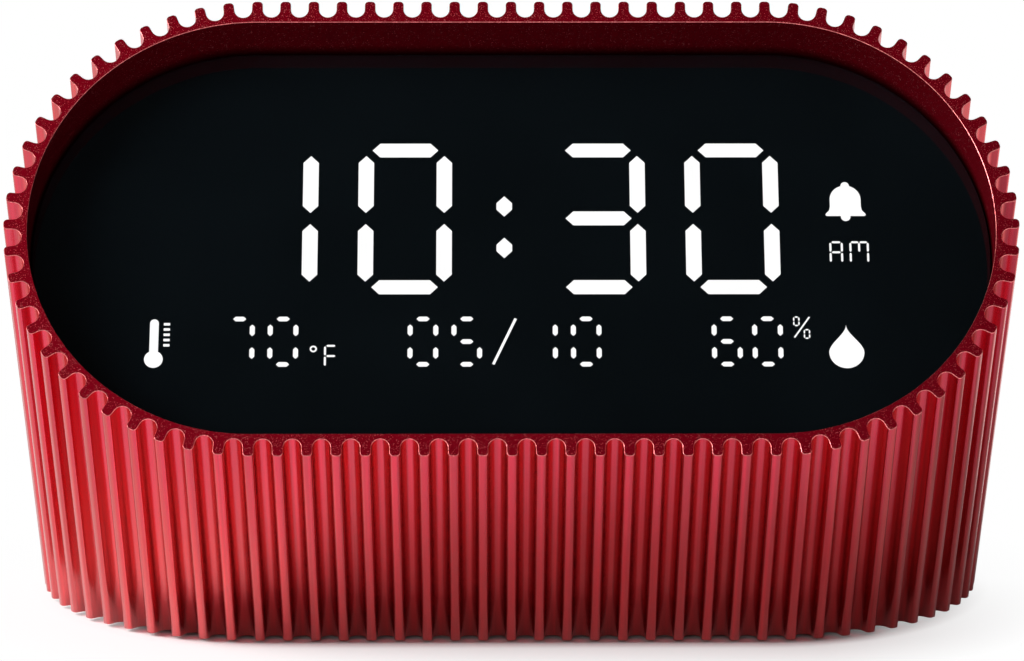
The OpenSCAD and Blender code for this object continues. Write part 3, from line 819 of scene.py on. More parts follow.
def lit_shapes():
    """Lit parts of the display, a little dimmer between the lamps behind them."""
    lit = colours().lit
    made = Finish("lit_shapes", (0.02, 0.02, 0.02), 0.4, {"Emission Strength": 1.0})
    patches = made.use(moulded_grain, size=0.4 * MM)["Mask"]
    dim = tuple(c * 0.96 for c in lit)
    made.set("Emission Color", made.mix(patches, dim, lit))
    return made.material


def circuit_board():
    """Green board with copper tracks and plated holes."""
    green = (0.012, 0.09, 0.035)
    made = Finish("circuit_board", green, 0.35, {"Coat Weight": 0.3})
    flat = made.parts(made.place)
    plane = made.joined(flat[0], flat[2], 0.0)
    tracks = made.add("ShaderNodeTexBrick", {
        "Vector": plane, "Scale": 160.0, "Mortar Size": 0.05, "Mortar Smooth": 0.1,
        "Brick Width": 1.3, "Row Height": 0.32}).outputs["Fac"]
    holes = made.add("ShaderNodeTexVoronoi", {"Vector": plane, "Scale": 170.0}).outputs[0]
    plated = made.ramp(holes, 0.12, 0.15, 1.0, 0.0)
    masked = made.mix(tracks, green, (0.03, 0.2, 0.07))
    made.set("Base Color", made.mix(plated, masked, (0.75, 0.5, 0.2)))
    made.set("Metallic", plated)
    made.handled(20 * MM, 0.3, 0.45)
    made.bump(tracks, 0.02 * MM)
    return made.material


def striped_film():
    """Flat cable: pale conductors in a clear film."""
    made = Finish("ribbon_film", (0.7, 0.7, 0.68), 0.3, {"Coat Weight": 0.4})
    across = made.parts(made.place)[0]
    wave = made.math("SINE", made.math("MULTIPLY", across, 2 * math.pi / MM))
    stripe = made.ramp(wave, -0.1, 0.1)
    made.set("Base Color", made.mix(stripe, (0.62, 0.60, 0.55), (0.85, 0.84, 0.80)))
    made.handled(8 * MM, 0.25, 0.4)
    made.bump(stripe, 0.03 * MM)
    return made.material


def wrapped_cell():
    """Battery cell in a shrunk sleeve, with bare ends."""
    made = Finish("cell_wrap", (0.05, 0.12, 0.3), 0.35)
    middle, high = middle_of("battery_cell")
    end = high.x - middle.x
    across = made.math("SUBTRACT", made.parts(made.place)[0], middle.x)
    out = made.math("ABSOLUTE", across)
    bare = made.ramp(out, end - 0.5 * MM, end - 0.4 * MM)
    grain = made.use(moulded_grain, size=0.6 * MM)
    sleeve = made.mix(grain["Mask"], (0.04, 0.1, 0.26), (0.06, 0.14, 0.34))
    made.set("Base Color", made.mix(bare, sleeve, (0.7, 0.7, 0.68)))
    made.set("Metallic", bare)
    made.handled(10 * MM, 0.28, 0.42)
    made.bump(grain["Height"], 0.01 * MM)
    return made.material


def pressed_speaker():
    """Loudspeaker: pressed frame, with a dark paper cone inside its rim."""
    made = Finish("speaker_metal", (0.45, 0.45, 0.46), 0.4)
    away = made.vector("SUBTRACT", made.place, middle_of("speaker_driver")[0])
    flat = made.vector("MULTIPLY", away, (1.0, 0.0, 1.0))
    rim = made.ramp(made.vector("LENGTH", flat), 11.6 * MM, 11.8 * MM)
    grain = made.use(moulded_grain, size=0.25 * MM)
    paper = made.mix(grain["Mask"], (0.012, 0.012, 0.013), (0.03, 0.03, 0.03))
    made.set("Base Color", made.mix(rim, paper, (0.45, 0.45, 0.46)))
    made.set("Metallic", rim)
    made.handled(6 * MM, 0.35, 0.6)
    made.bump(grain["Height"], 0.03 * MM)
    return made.material


# Moulded finishes: the colour or its name, roughness, size and depth of the grain in
# millimetres, and how far the colour varies where that is not a fifth
MOULDED = {
    "foam": ((0.03, 0.03, 0.032), 0.95, 0.5, 0.3),
    "chassis_plastic": ((0.03, 0.03, 0.033), 0.5, 0.3, 0.02),
    "lcd_glass": ((0.01, 0.012, 0.014), 0.12, 0.8, 0.002),
    "white_film": ((0.8, 0.8, 0.79), 0.6, 0.2, 0.01, 0.05),
    "white_plastic": ((0.78, 0.78, 0.76), 0.4, 0.3, 0.01, 0.05),
    "led": ((0.85, 0.75, 0.35), 0.35, 0.2, 0.02, 0.12),
    "cream_plastic": ((0.7, 0.62, 0.45), 0.45, 0.2, 0.01, 0.06),
    "back_plastic": ("plastic", 0.52, 0.32, 0.05),
    "base_plastic": ("plastic", 0.55, 0.4, 0.06),
    "foot_rubber": ((0.022, 0.022, 0.023), 0.85, 0.25, 0.04),
    "switch_plastic": ((0.02, 0.02, 0.022), 0.4, 0.2, 0.01),
    "chip_resin": ((0.016, 0.016, 0.017), 0.6, 0.12, 0.02),
    "slider_plastic": ((0.03, 0.03, 0.032), 0.42, 0.2, 0.02),
    "button_plastic": ((0.024, 0.024, 0.026), 0.38, 0.18, 0.015),
    "marks": ("marks", 0.5, 0.15, 0.005, 0.1),
}
# Drawn metals: colour, roughness, and the turn of the lines about X
DRAWN = {
    "bright_steel": ((0.62, 0.62, 0.63), 0.3),
    "black_steel": ((0.05, 0.05, 0.052), 0.38),
    "socket_steel": ((0.55, 0.55, 0.56), 0.28, math.pi / 2),
    "contact_nickel": ((0.68, 0.65, 0.6), 0.32),
    "contact_gold": ((0.85, 0.6, 0.25), 0.25, math.pi / 2),
}
# Finishes with a maker of their own
MAKERS = {
    "anodised_shell": anodised_side, "anodised_bore": anodised_bore,
    "blasted_cut": blasted_cut, "bright_edge": bright_edge, "lens": tinted_lens,
    "lit_shapes": lit_shapes, "circuit_board": circuit_board, "ribbon_film": striped_film,
    "cell_wrap": wrapped_cell, "speaker_metal": pressed_speaker,
}
MADE = {}


def finish(name):
    """The material of a slot or finish, built once."""
    if name not in MADE:
        tables = ((moulded, MOULDED), (drawn_metal, DRAWN))
        made = [maker(name, *table[name]) for maker, table in tables if name in table]
        MADE[name] = made[0] if made else MAKERS[name]()
    return MADE[name]


def finish_nodes(**slots):
    """Gives packed pieces their finish."""
    for node, slot in slots.items():
        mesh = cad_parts[node].data
        mesh.materials.clear()
        mesh.materials.append(finish(slot))


# Places on the clock

def mouth_lip(shell):
    """The mouth's slope, its height along the face, and its lip's height above the floor."""
    rise = shell.lean + shell.face_tilt
    face = 2 * shell.tip_radius / math.cos(shell.face_tilt)
    return rise, face, SHELL_HIGH.z - face * math.sin(rise)


def face_plane(shell, depth):
    """The plane of the mouth at a depth: X to the right, Y up the face, Z outwards."""
    rise, face, lip = mouth_lip(shell)
    return (Matrix.Translation((0, SHELL_LOW.y, lip)) @ Matrix.Rotation(rise, 4, "X")
            @ Matrix.Translation((0, face / 2, -depth)))


def foot_middle(shell):
    """The middle of the foot, from front to back."""
    lip = mouth_lip(shell)[2] - SHELL_LOW.z
    return SHELL_LOW.y + shell.tip_radius / math.cos(shell.lean) + lip * math.tan(shell.lean)


def half_flat(shell):
    """Half the length of the flat sides."""
    return shell.flat_ribs * shell.rib_pitch / 2


def back_plane(x, y, z):
    """A plane on the back: X to the right as seen from behind, Y up, Z outwards."""
    return Matrix(((-1, 0, 0, x), (0, 0, 1, y), (0, 1, 0, z), (0, 0, 0, 1)))


class CLOCK_OT_shell(bpy.types.Operator):
    """Builds the ribbed tube with its cut ends and broken edges"""

    bl_idname = "clock.shell"
    bl_label = "Ribbed tube"

    def execute(self, context):
        sizes = context.scene.clock_shell
        step = math.pi / sizes.end_ribs
        core = sizes.tip_radius - sizes.rib_height + sizes.groove_radius
        end_groove = core * Vector((math.sin(step / 2), math.cos(step / 2)))
        flat = self.cell(sizes, "flat_cell", Vector((sizes.rib_pitch / 2, core)), 0.0)
        end = self.cell(sizes, "end_cell", end_groove, step)
        obj = grown("body_shell_ribbed", self.tree(), {
            "Flat cell": flat, "End cell": end,
            "Flat ribs": sizes.flat_ribs, "End ribs": sizes.end_ribs,
            "Rib pitch": sizes.rib_pitch, "Half flat": half_flat(sizes),
            "Bore radius": sizes.tip_radius - sizes.rib_height - sizes.wall,
            "Edge break": sizes.edge_break, "Mouth break": sizes.mouth_break,
            "Lean": sizes.lean, "Mouth turn": sizes.lean + sizes.face_tilt,
            "Foot": (0.0, foot_middle(sizes), SHELL_LOW.z), "Back": SHELL_HIGH.y,
            "Mouth": face_plane(sizes, 0).translation,
            "Side finish": finish("anodised_shell"), "Cut finish": finish("blasted_cut"),
            "Edge finish": finish("bright_edge"), "Bore finish": finish("anodised_bore")})
        removed(flat, end)
        smoothed(obj)
        seated(obj, BODY, "anodised_shell", "body_shell")
        return {"FINISHED"}

    def cell(self, sizes, name, groove, step):
        """One groove from rib tip to rib tip, with the outward direction at each point."""
        corner = Vector((sizes.rib_top / 2, sizes.tip_radius - sizes.rib_edge))
        reach = groove - corner
        flank = math.atan2(reach.y, reach.x) + math.acos(
            (sizes.groove_radius + sizes.rib_edge) / reach.length)
        quarter = math.pi / 2
        middle = 3 * quarter - step / 2
        points, outward = [Vector((0, sizes.tip_radius))], [Vector((0, 1))]
        rounds = [(corner, sizes.rib_edge, quarter, flank, 1),
                  (groove, sizes.groove_radius, math.pi + flank, middle, -1)]
        for centre, radius, start, end, side in rounds:
            for i in range(sizes.arc_steps + 1):
                turn = start + (end - start) * i / sizes.arc_steps
                ray = Vector((math.cos(turn), math.sin(turn)))
                points.append(centre + radius * ray)
                outward.append(side * ray)
        # The second half mirrors the first about the middle of the groove
        across = Vector((math.cos(step / 2), -math.sin(step / 2)))
        for point, ray in reversed(list(zip(points[:-1], outward[:-1]))):
            points.append(point + 2 * (groove - point).dot(across) * across)
            outward.append(ray - 2 * ray.dot(across) * across)
        edges = [(i, i + 1) for i in range(len(points) - 1)]
        mesh = plain_mesh(name, [point.to_3d() for point in points], edges)
        stored = mesh.attributes.new("outward", "FLOAT_VECTOR", "POINT")
        stored.data.foreach_set("vector", [c for ray in outward for c in ray.to_3d()])
        return add_object(name, mesh)

    def tree(self):
        """Grooves set round the tube's outline, drawn along the lean and cut by planes."""
        nodes, given, out = shape_tree("Ribbed tube", {
            OBJECT: "Flat cell, End cell", INT: "Flat ribs, End ribs",
            FLOAT: "Rib pitch, Half flat, Bore radius, Edge break, Mouth break, Lean, "
                   "Mouth turn, Back", VECTOR: "Foot, Mouth",
            MATERIAL: "Side finish, Cut finish, Edge finish, Bore finish"})
        outline = self.outline(nodes, given)
        outer = nodes.named("outer", "FLOAT_VECTOR")
        outward = nodes.named("outward", "FLOAT_VECTOR")
        inset = nodes.vector("SUBTRACT", outer, nodes.scaled(outward, given["Edge break"]))
        bore = self.bore(nodes, given, outer, given["Bore radius"])
        widened = nodes.math("ADD", given["Bore radius"], given["Mouth break"])
        bore_edge = self.bore(nodes, given, outer, widened)
        axis = nodes.turned(Z_AXIS, "X", given["Lean"])
        mouth_normal = nodes.turned(Z_AXIS, "X", given["Mouth turn"])

        def placed(section):
            return nodes.vector("ADD", nodes.turned(section, "X", given["Lean"]), given["Foot"])

        def reach(section, point, normal):
            gap = nodes.vector("SUBTRACT", point, placed(section))
            return nodes.math("DIVIDE", nodes.vector("DOT_PRODUCT", gap, normal),
                              nodes.vector("DOT_PRODUCT", axis, normal))

        def drawn(section, along):
            return nodes.vector("ADD", placed(section), nodes.scaled(axis, along))

        def at_mouth(section, depth):
            point = nodes.vector("SUBTRACT", given["Mouth"], nodes.scaled(mouth_normal, depth))
            return drawn(section, reach(section, point, mouth_normal))

        def at_foot(section, lift):
            foot = nodes.vector("ADD", given["Foot"], nodes.joined(0.0, 0.0, lift))
            back = nodes.joined(0.0, nodes.math("SUBTRACT", given["Back"], lift), 0.0)
            along = nodes.math("MAXIMUM", reach(section, foot, Z_AXIS),
                               reach(section, back, Y_AXIS))
            return drawn(section, along)

        start = at_foot(inset, 0.0)
        edge, side, cut, wall = range(4)
        rings = [(at_foot(outer, given["Edge break"]), edge),
                 (at_mouth(outer, given["Edge break"]), side),
                 (at_mouth(inset, 0.0), edge),
                 (at_mouth(bore_edge, 0.0), cut),
                 (at_mouth(bore, given["Mouth break"]), edge),
                 (at_foot(bore, 0.0), wall),
                 (start, cut)]
        shape = nodes.moved(outline, Position=start)
        top = True
        for position, kind in rings:
            swept = nodes.add("GeometryNodeExtrudeMesh", {
                "Mesh": shape, "Selection": top, "Offset Scale": 0.0}, mode="EDGES")
            top = swept.outputs["Top"]
            moved = nodes.moved(swept, Selection=top, Position=position)
            shape = nodes.store(moved, "finish", kind, "INT", "FACE", swept.outputs["Side"])
        shape = nodes.add("GeometryNodeMergeByDistance", {"Geometry": shape, "Distance": MERGE})
        shape = nodes.finished(nodes.realized(shape), given["Side finish"])
        for kind, label in ((cut, "Cut finish"), (edge, "Edge finish"), (wall, "Bore finish")):
            chosen = nodes.add("FunctionNodeCompare", {2: nodes.named("finish", "INT"), 3: kind},
                               data_type="INT", operation="EQUAL")
            shape = nodes.finished(shape, given[label], chosen)
        nodes.put(out["Geometry"], shape)
        return nodes.tree

    def outline(self, nodes, given):
        """The ribbed outline on its own plane, as one line of points for each groove."""
        index = nodes.add("GeometryNodeInputIndex")
        start = nodes.joined(nodes.math("MULTIPLY", given["Half flat"], -1.0), 0.0, 0.0)
        row = nodes.add("GeometryNodeMeshLine", {
            "Count": given["Flat ribs"], "Start Location": start,
            "Offset": nodes.joined(given["Rib pitch"], 0.0, 0.0)})
        end = nodes.add("GeometryNodeMeshLine", {
            "Count": given["End ribs"], "Offset": (0.0, 0.0, 0.0),
            "Start Location": nodes.joined(given["Half flat"], 0.0, 0.0)})
        step = nodes.math("DIVIDE", -math.pi, given["End ribs"])
        turn = nodes.math("MULTIPLY", index, step)
        flats = nodes.on_points(row, given["Flat cell"])
        flats = nodes.store(flats, "turn", 0.0, domain="INSTANCE")
        ends = nodes.on_points(end, given["End cell"], Rotation=nodes.joined(0.0, 0.0, turn))
        ends = nodes.store(ends, "turn", turn, domain="INSTANCE")
        half = nodes.join(flats, ends)
        other = nodes.store(half, "turn", nodes.math("ADD", nodes.named("turn"), math.pi),
                            domain="INSTANCE")
        other = nodes.add("GeometryNodeTransform", {
            "Geometry": other, "Rotation": (0.0, 0.0, math.pi)})
        whole = nodes.realized(nodes.join(half, other))
        whole = nodes.store(whole, "outer", nodes.add("GeometryNodeInputPosition"),
                            "FLOAT_VECTOR")
        ray = nodes.turned(nodes.named("outward", "FLOAT_VECTOR"), "Z", nodes.named("turn"))
        return nodes.store(whole, "outward", ray, "FLOAT_VECTOR")

    def bore(self, nodes, given, outer, radius):
        """Where a point of the outline falls on a smooth stadium inside it."""
        x = nodes.parts(outer)[0]
        low = nodes.math("MULTIPLY", given["Half flat"], -1.0)
        held = nodes.math("MINIMUM", nodes.math("MAXIMUM", x, low), given["Half flat"])
        centre = nodes.joined(held, 0.0, 0.0)
        ray = nodes.vector("NORMALIZE", nodes.vector("SUBTRACT", outer, centre))
        return nodes.vector("ADD", centre, nodes.scaled(ray, radius))


# Bars of a seven-bar digit: across and up in half sizes, and whether the bar is upright
BARS = {"a": (0, 1, False), "b": (1, 0.5, True), "c": (1, -0.5, True), "d": (0, -1, False),
        "e": (-1, -0.5, True), "f": (-1, 0.5, True), "g": (0, 0, False)}
LIT_BARS = {"0": "abcdef", "1": "bc", "3": "abcdg", "5": "acdfg", "6": "acdefg", "7": "abc",
            "A": "abcefg", "F": "aefg"}


# Sizes of a seven-bar digit in millimetres
DigitSize = namedtuple("DigitSize", "half_width half_height level upright thick")
TIME_DIGIT = DigitSize(half_width=5.51, half_height=10.77, level=9.3, upright=9.0, thick=2.18)
ROW_DIGIT = DigitSize(half_width=1.785, half_height=3.495, level=1.82, upright=1.78, thick=0.7)
LETTER = DigitSize(half_width=0.8, half_height=1.57, level=1.26, upright=1.4, thick=0.29)
PERCENT_RING = DigitSize(half_width=0.355, half_height=0.65, level=0.5, upright=0.56, thick=0.2)
# Digits and where their middles stand across the face, in millimetres
TIME_DIGITS = (("1", -33.79), ("0", -14.96), ("3", 12.27), ("0", 31.07))
ROW_DIGITS = (("7", -37.89), ("0", -31.82), ("0", -12.35), ("5", -6.25), ("1", 4.28),
              ("0", 10.37), ("6", 29.97), ("0", 35.62))
COLON = ((-1.0, 6.15), (-1.0, -0.38))
COLON_SIZE = (3.2, 2.2)
LETTERS = (("F", -25.14, -17.13), ("A", 45.57, -1.09))
M_PLACE, M_WIDTH = (48.8, -1.09), 2.44
PERCENT_RINGS = ((39.68, -11.82), (41.11, -13.78))
# Start, end and thickness of the slashes
SLASHES = (((-2.56, -18.41), (0.56, -11.38), 0.37), ((39.36, -14.32), (41.5, -11.16), 0.22))
# Left and right ends of the thermometer's ticks, then the first and the last one's height
TICKS, TICK_COUNT, TICK_THICK = (-48.43, -47.56, -12.22, -15.46), 5, 0.37
# Middle and radius of the stem's round top, then of the bulb
THERMOMETER = ((-49.74, -12.08), 0.61, (-49.75, -17.62), 1.3)
DEGREE, DEGREE_RADII = (-27.57, -16.04), (0.5, 0.27)
BELL_FOOT, BELL_HEIGHT = (47.06, 4.62), 5.34
DROP_TIP, DROP_WIDTH, DROP_SHOULDER = (46.57, -12.4), 4.88, 4.2


class CLOCK_OT_display(bpy.types.Operator):
    """Builds the lit digits and signs on the lens"""

    bl_idname = "clock.display"
    bl_label = "Lit display"

    def execute(self, context):
        display = context.scene.clock_display
        plane = face_plane(context.scene.clock_shell, display.recess)
        self.bars = []
        for sign, x in TIME_DIGITS:
            self.digit(sign, x, display.time_height / MM, TIME_DIGIT)
        for sign, x in ROW_DIGITS:
            self.digit(sign, x, display.row_height / MM, ROW_DIGIT)
        for x, y in COLON:
            self.bar(x, y, *COLON_SIZE, True)
        for sign, x, y in LETTERS:
            self.digit(sign, x, y, LETTER)
        for x, y in PERCENT_RINGS:
            self.digit("0", x, y, PERCENT_RING)
        self.letter_m(M_PLACE, M_WIDTH)
        self.strokes()
        pattern = self.pattern()
        digits = grown("display_digits", self.tree(), {
            "Bar": pattern, "Height": display.lit_height,
            "Face turn": plane.to_euler().x, "Face": plane.translation,
            "Finish": finish("lit_shapes")}, self.points())
        removed(pattern)
        seated(digits, BODY, "lcd_glass")
        signs = Plates(plane @ Matrix.Scale(MM, 4), display.lit_height / MM)
        self.signs(signs)
        signs = from_bmesh("display_signs", signs.built, finish("lit_shapes"))
        seated(signs, BODY, "lcd_glass")
        return {"FINISHED"}

    def bar(self, x, y, span, thick, upright):
        """Adds a bar with pointed ends."""
        self.bars.append((x, y, span, thick, 1.0, math.pi / 2 if upright else 0.0))

    def digit(self, sign, x, y, size):
        """Adds the lit bars of one digit."""
        for name in LIT_BARS[sign]:
            across, up, upright = BARS[name]
            span = size.upright if upright else size.level
            self.bar(x + across * size.half_width, y + up * size.half_height, span,
                     size.thick, upright)

    def stroke(self, start, end, thick):
        """Adds a straight bar with square ends."""
        start, end = Vector(start), Vector(end)
        middle, along = (start + end) / 2, end - start
        self.bars.append((*middle, along.length, thick, 0.0, math.atan2(along.y, along.x)))

    def letter_m(self, place, width):
        """Adds an M of seven bars: two long legs and a short one between them."""
        x, y = place
        top, tall, thick = LETTER.half_height, LETTER.upright, LETTER.thick
        for leg in (-1, 1):
            for half in (-1, 1):
                self.bar(x + leg * width / 2, y + half * top / 2, tall, thick, True)
            self.bar(x + leg * width / 4, y + top, width / 2 - thick / 2, thick, False)
        self.bar(x, y + top / 2, tall, thick, True)

    def strokes(self):
        """Adds the slashes and the thermometer's ticks."""
        left, right, first, last = TICKS
        for i in range(TICK_COUNT):
            y = first + (last - first) * i / (TICK_COUNT - 1)
            self.stroke((left, y), (right, y), TICK_THICK)
        for start, end, thick in SLASHES:
            self.stroke(start, end, thick)

    def signs(self, signs):
        """Draws the filled signs: bell, thermometer, drop and the ring of the degree sign."""
        signs.plate(bell_outline(BELL_FOOT, BELL_HEIGHT))
        stem, stem_radius, bulb, bulb_radius = THERMOMETER
        neck = math.degrees(math.asin(stem_radius / bulb_radius))
        signs.plate(arc(stem, stem_radius, 0, 180, 12)
                    + arc(bulb, bulb_radius, 90 + neck, 450 - neck, 28))
        signs.ring(DEGREE, *DEGREE_RADII)
        signs.plate(drop_outline(DROP_TIP, DROP_WIDTH, DROP_SHOULDER))

    def points(self):
        """One point for each bar, with its sizes."""
        places = [(x * MM, y * MM, 0) for x, y, *_ in self.bars]
        mesh = plain_mesh("display_digits", places)
        for column, name, unit in ((2, "span", MM), (3, "thick", MM), (4, "pointed", 1),
                                   (5, "turn", 1)):
            stored = mesh.attributes.new(name, "FLOAT", "POINT")
            stored.data.foreach_set("value", [bar[column] * unit for bar in self.bars])
        return mesh

    def pattern(self):
        """A bar between -1 and 1 with a corner in the middle of each end."""
        plate = Plates(Matrix.Identity(4), 1.0)
        plate.plate([(-1, -1), (1, -1), (1, 0), (1, 1), (-1, 1), (-1, 0)])
        return from_bmesh("bar_pattern", plate.built)

    def tree(self):
        """Bars set on points, each drawn out to its own span, thickness and ends."""
        nodes, given, out = shape_tree("Lit bars", {
            OBJECT: "Bar", FLOAT: "Height, Face turn", VECTOR: "Face", MATERIAL: "Finish"})
        position = nodes.add("GeometryNodeInputPosition")
        marked = nodes.store(given["Geometry"], "middle", position, "FLOAT_VECTOR")
        bars = nodes.realized(nodes.on_points(marked, given["Bar"]))
        middle = nodes.named("middle", "FLOAT_VECTOR")
        corner = nodes.parts(nodes.vector("SUBTRACT", position, middle))
        half_span = nodes.math("DIVIDE", nodes.named("span"), 2.0)
        half_thick = nodes.math("DIVIDE", nodes.named("thick"), 2.0)
        cut = nodes.math("MULTIPLY", nodes.math("ABSOLUTE", corner[1]),
                         nodes.math("MULTIPLY", half_thick, nodes.named("pointed")))
        along = nodes.math("MULTIPLY", corner[0], nodes.math("SUBTRACT", half_span, cut))
        shaped = nodes.joined(along, nodes.math("MULTIPLY", corner[1], half_thick),
                              nodes.math("MULTIPLY", corner[2], given["Height"]))
        laid = nodes.vector("ADD", middle, nodes.turned(shaped, "Z", nodes.named("turn")))
        raised = nodes.vector("ADD", nodes.turned(laid, "X", given["Face turn"]), given["Face"])
        bars = nodes.moved(bars, Position=raised)
        nodes.put(out["Geometry"], nodes.finished(bars, given["Finish"]))
        return nodes.tree


class CLOCK_OT_display_stack(bpy.types.Operator):
    """Finishes the lens and what lies behind it"""

    bl_idname = "clock.display_stack"
    bl_label = "Lens and panel"

    def execute(self, context):
        finish_nodes(front_lens="lens", lens_gasket="foam", lcd_panel="lcd_glass",
                     diffuser_sheet="white_film", light_box="white_plastic",
                     backlight_leds="led", display_board="circuit_board",
                     display_screws="bright_steel", ribbon_sockets="cream_plastic",
                     ribbon_cable="ribbon_film")
        return {"FINISHED"}


class CLOCK_OT_inside(bpy.types.Operator):
    """Finishes the chassis, the main board, the battery and the loudspeaker"""

    bl_idname = "clock.inside"
    bl_label = "Inside"

    def execute(self, context):
        finish_nodes(chassis="chassis_plastic", main_board="circuit_board",
                     board_screws="bright_steel", push_switches="switch_plastic",
                     slide_switch="switch_plastic", controller_chips="chip_resin",
                     climate_sensor="chip_resin", speaker_driver="speaker_metal",
                     speaker_gasket="foam", battery_tray="chassis_plastic",
                     battery_cell="cell_wrap", battery_contacts="contact_nickel")
        return {"FINISHED"}


# Marks on the back in millimetres: the shapes that are drawn, with their values
MARKS = {
    "bell_print": [("plate", bell_outline((0, -1.0), 2.2))],
    "off_print": [("ring", (0, 0), 0.95, 0.72)],
    "charge_print": [("plate", [(0.35, 1.4), (-0.75, -0.2), (-0.1, -0.2), (-0.35, -1.4),
                                (0.75, 0.25), (0.1, 0.25)])],
    "button_set_mark": [("ring", (0, 0), 1.45, 1.15), ("bar", (0, -0.1), (0, 0.85), 0.26),
                        ("bar", (0, 0), (0.65, 0), 0.26)],
    "button_alarm_mark": [("plate", bell_outline((0, -1.1), 2.4))],
    "button_up_mark": [("plate", [(-1.2, -0.75), (1.2, -0.75), (0, 1.15)])],
    "button_down_mark": [("plate", [(-1.2, 0.75), (0, -1.15), (1.2, 0.75)])],
}


def back_mark(name, plane, height, body, slot):
    """A flat mark on a plane of the back."""
    plates = Plates(plane @ Matrix.Scale(MM, 4), height / MM)
    for shape, *values in MARKS[name]:
        getattr(plates, shape)(*values)
    seated(from_bmesh(name, plates.built, finish("marks")), body, slot)


class CLOCK_OT_back(bpy.types.Operator):
    """Builds the back cover with its printed marks"""

    bl_idname = "clock.back"
    bl_label = "Back cover"

    def execute(self, context):
        sizes = context.scene.clock_back
        rounded_copy("back_cover", sizes.edge, BODY, "back_plastic")
        off, inlet = middle_of("alarm_slider")[0], middle_of("usb_socket")[0]
        places = {"bell_print": (off.x + sizes.slider_travel, off.z),
                  "off_print": (off.x, off.z), "charge_print": (inlet.x, inlet.z)}
        for name, (x, z) in places.items():
            plane = back_plane(x, COVER_HIGH.y, z + sizes.print_rise)
            back_mark(name, plane, sizes.print_height, BODY, "back_plastic")
        return {"FINISHED"}


class CLOCK_OT_foot(bpy.types.Operator):
    """Builds the base plate and its rubber feet"""

    bl_idname = "clock.foot"
    bl_label = "Base and feet"

    def execute(self, context):
        sizes = context.scene.clock_back
        rounded_copy("base_plate", sizes.edge, BODY, "base_plastic")
        rounded_copy("foot_pads", sizes.edge, BODY, "foot_rubber")
        return {"FINISHED"}


class CLOCK_OT_buttons(bpy.types.Operator):
    """Builds the four buttons with a raised mark on each"""

    bl_idname = "clock.buttons"
    bl_label = "Buttons"

    def execute(self, context):
        sizes = context.scene.clock_back
        for node in ("button_set", "button_alarm", "button_up", "button_down"):
            rounded_copy(node, sizes.edge, node, "button_plastic")
            middle, high = middle_of(node)
            plane = back_plane(middle.x, high.y - sizes.button_dish, middle.z)
            back_mark(node + "_mark", plane, sizes.mark_height, node, "button_plastic")
        return {"FINISHED"}


class CLOCK_OT_slider(bpy.types.Operator):
    """Builds the alarm slider with its grip ridges"""

    bl_idname = "clock.slider"
    bl_label = "Alarm slider"

    def execute(self, context):
        sizes = context.scene.clock_back
        node = "alarm_slider"
        rounded_copy(node, sizes.edge, node, "slider_plastic")
        middle, high = middle_of(node)
        first = -(sizes.grip_ridges - 1) / 2 * sizes.ridge_pitch
        pattern = from_bmesh("ridge_pattern", ridge(
            sizes.ridge_half, sizes.ridge_radius, sizes.ridge_height, back_plane(0, 0, 0)))
        ridges = grown("alarm_slider_ridges", rows_tree(), {
            "Piece": pattern, "Columns": sizes.grip_ridges, "Rows": 1,
            "First": (middle.x + first, high.y, middle.z),
            "Column step": (sizes.ridge_pitch, 0.0, 0.0), "Row step": (0.0, 0.0, 0.0),
            "Finish": finish("slider_plastic")})
        removed(pattern)
        seated(smoothed(ridges), node, "slider_plastic")
        return {"FINISHED"}


# Outline of a screw's head, as shares of its radius and its height
HEAD_OUTLINE = ((0, 0), (0.55, 0), (0.85, 0.12), (0.97, 0.35), (1, 0.6), (1, 1))
# The thread's root as a share of the screw's radius, and where in a pitch the root ends and
# the thread's edge stands
THREAD_ROOT, ROOT_END, THREAD_EDGE = 0.8, 0.4, 0.7
# Length and half width of the cross recess's arms as shares of the head's radius, and its
# depth as a share of the head's height
CROSS_ARM, CROSS_HALF, CROSS_DEPTH = 0.62, 0.14, 0.6


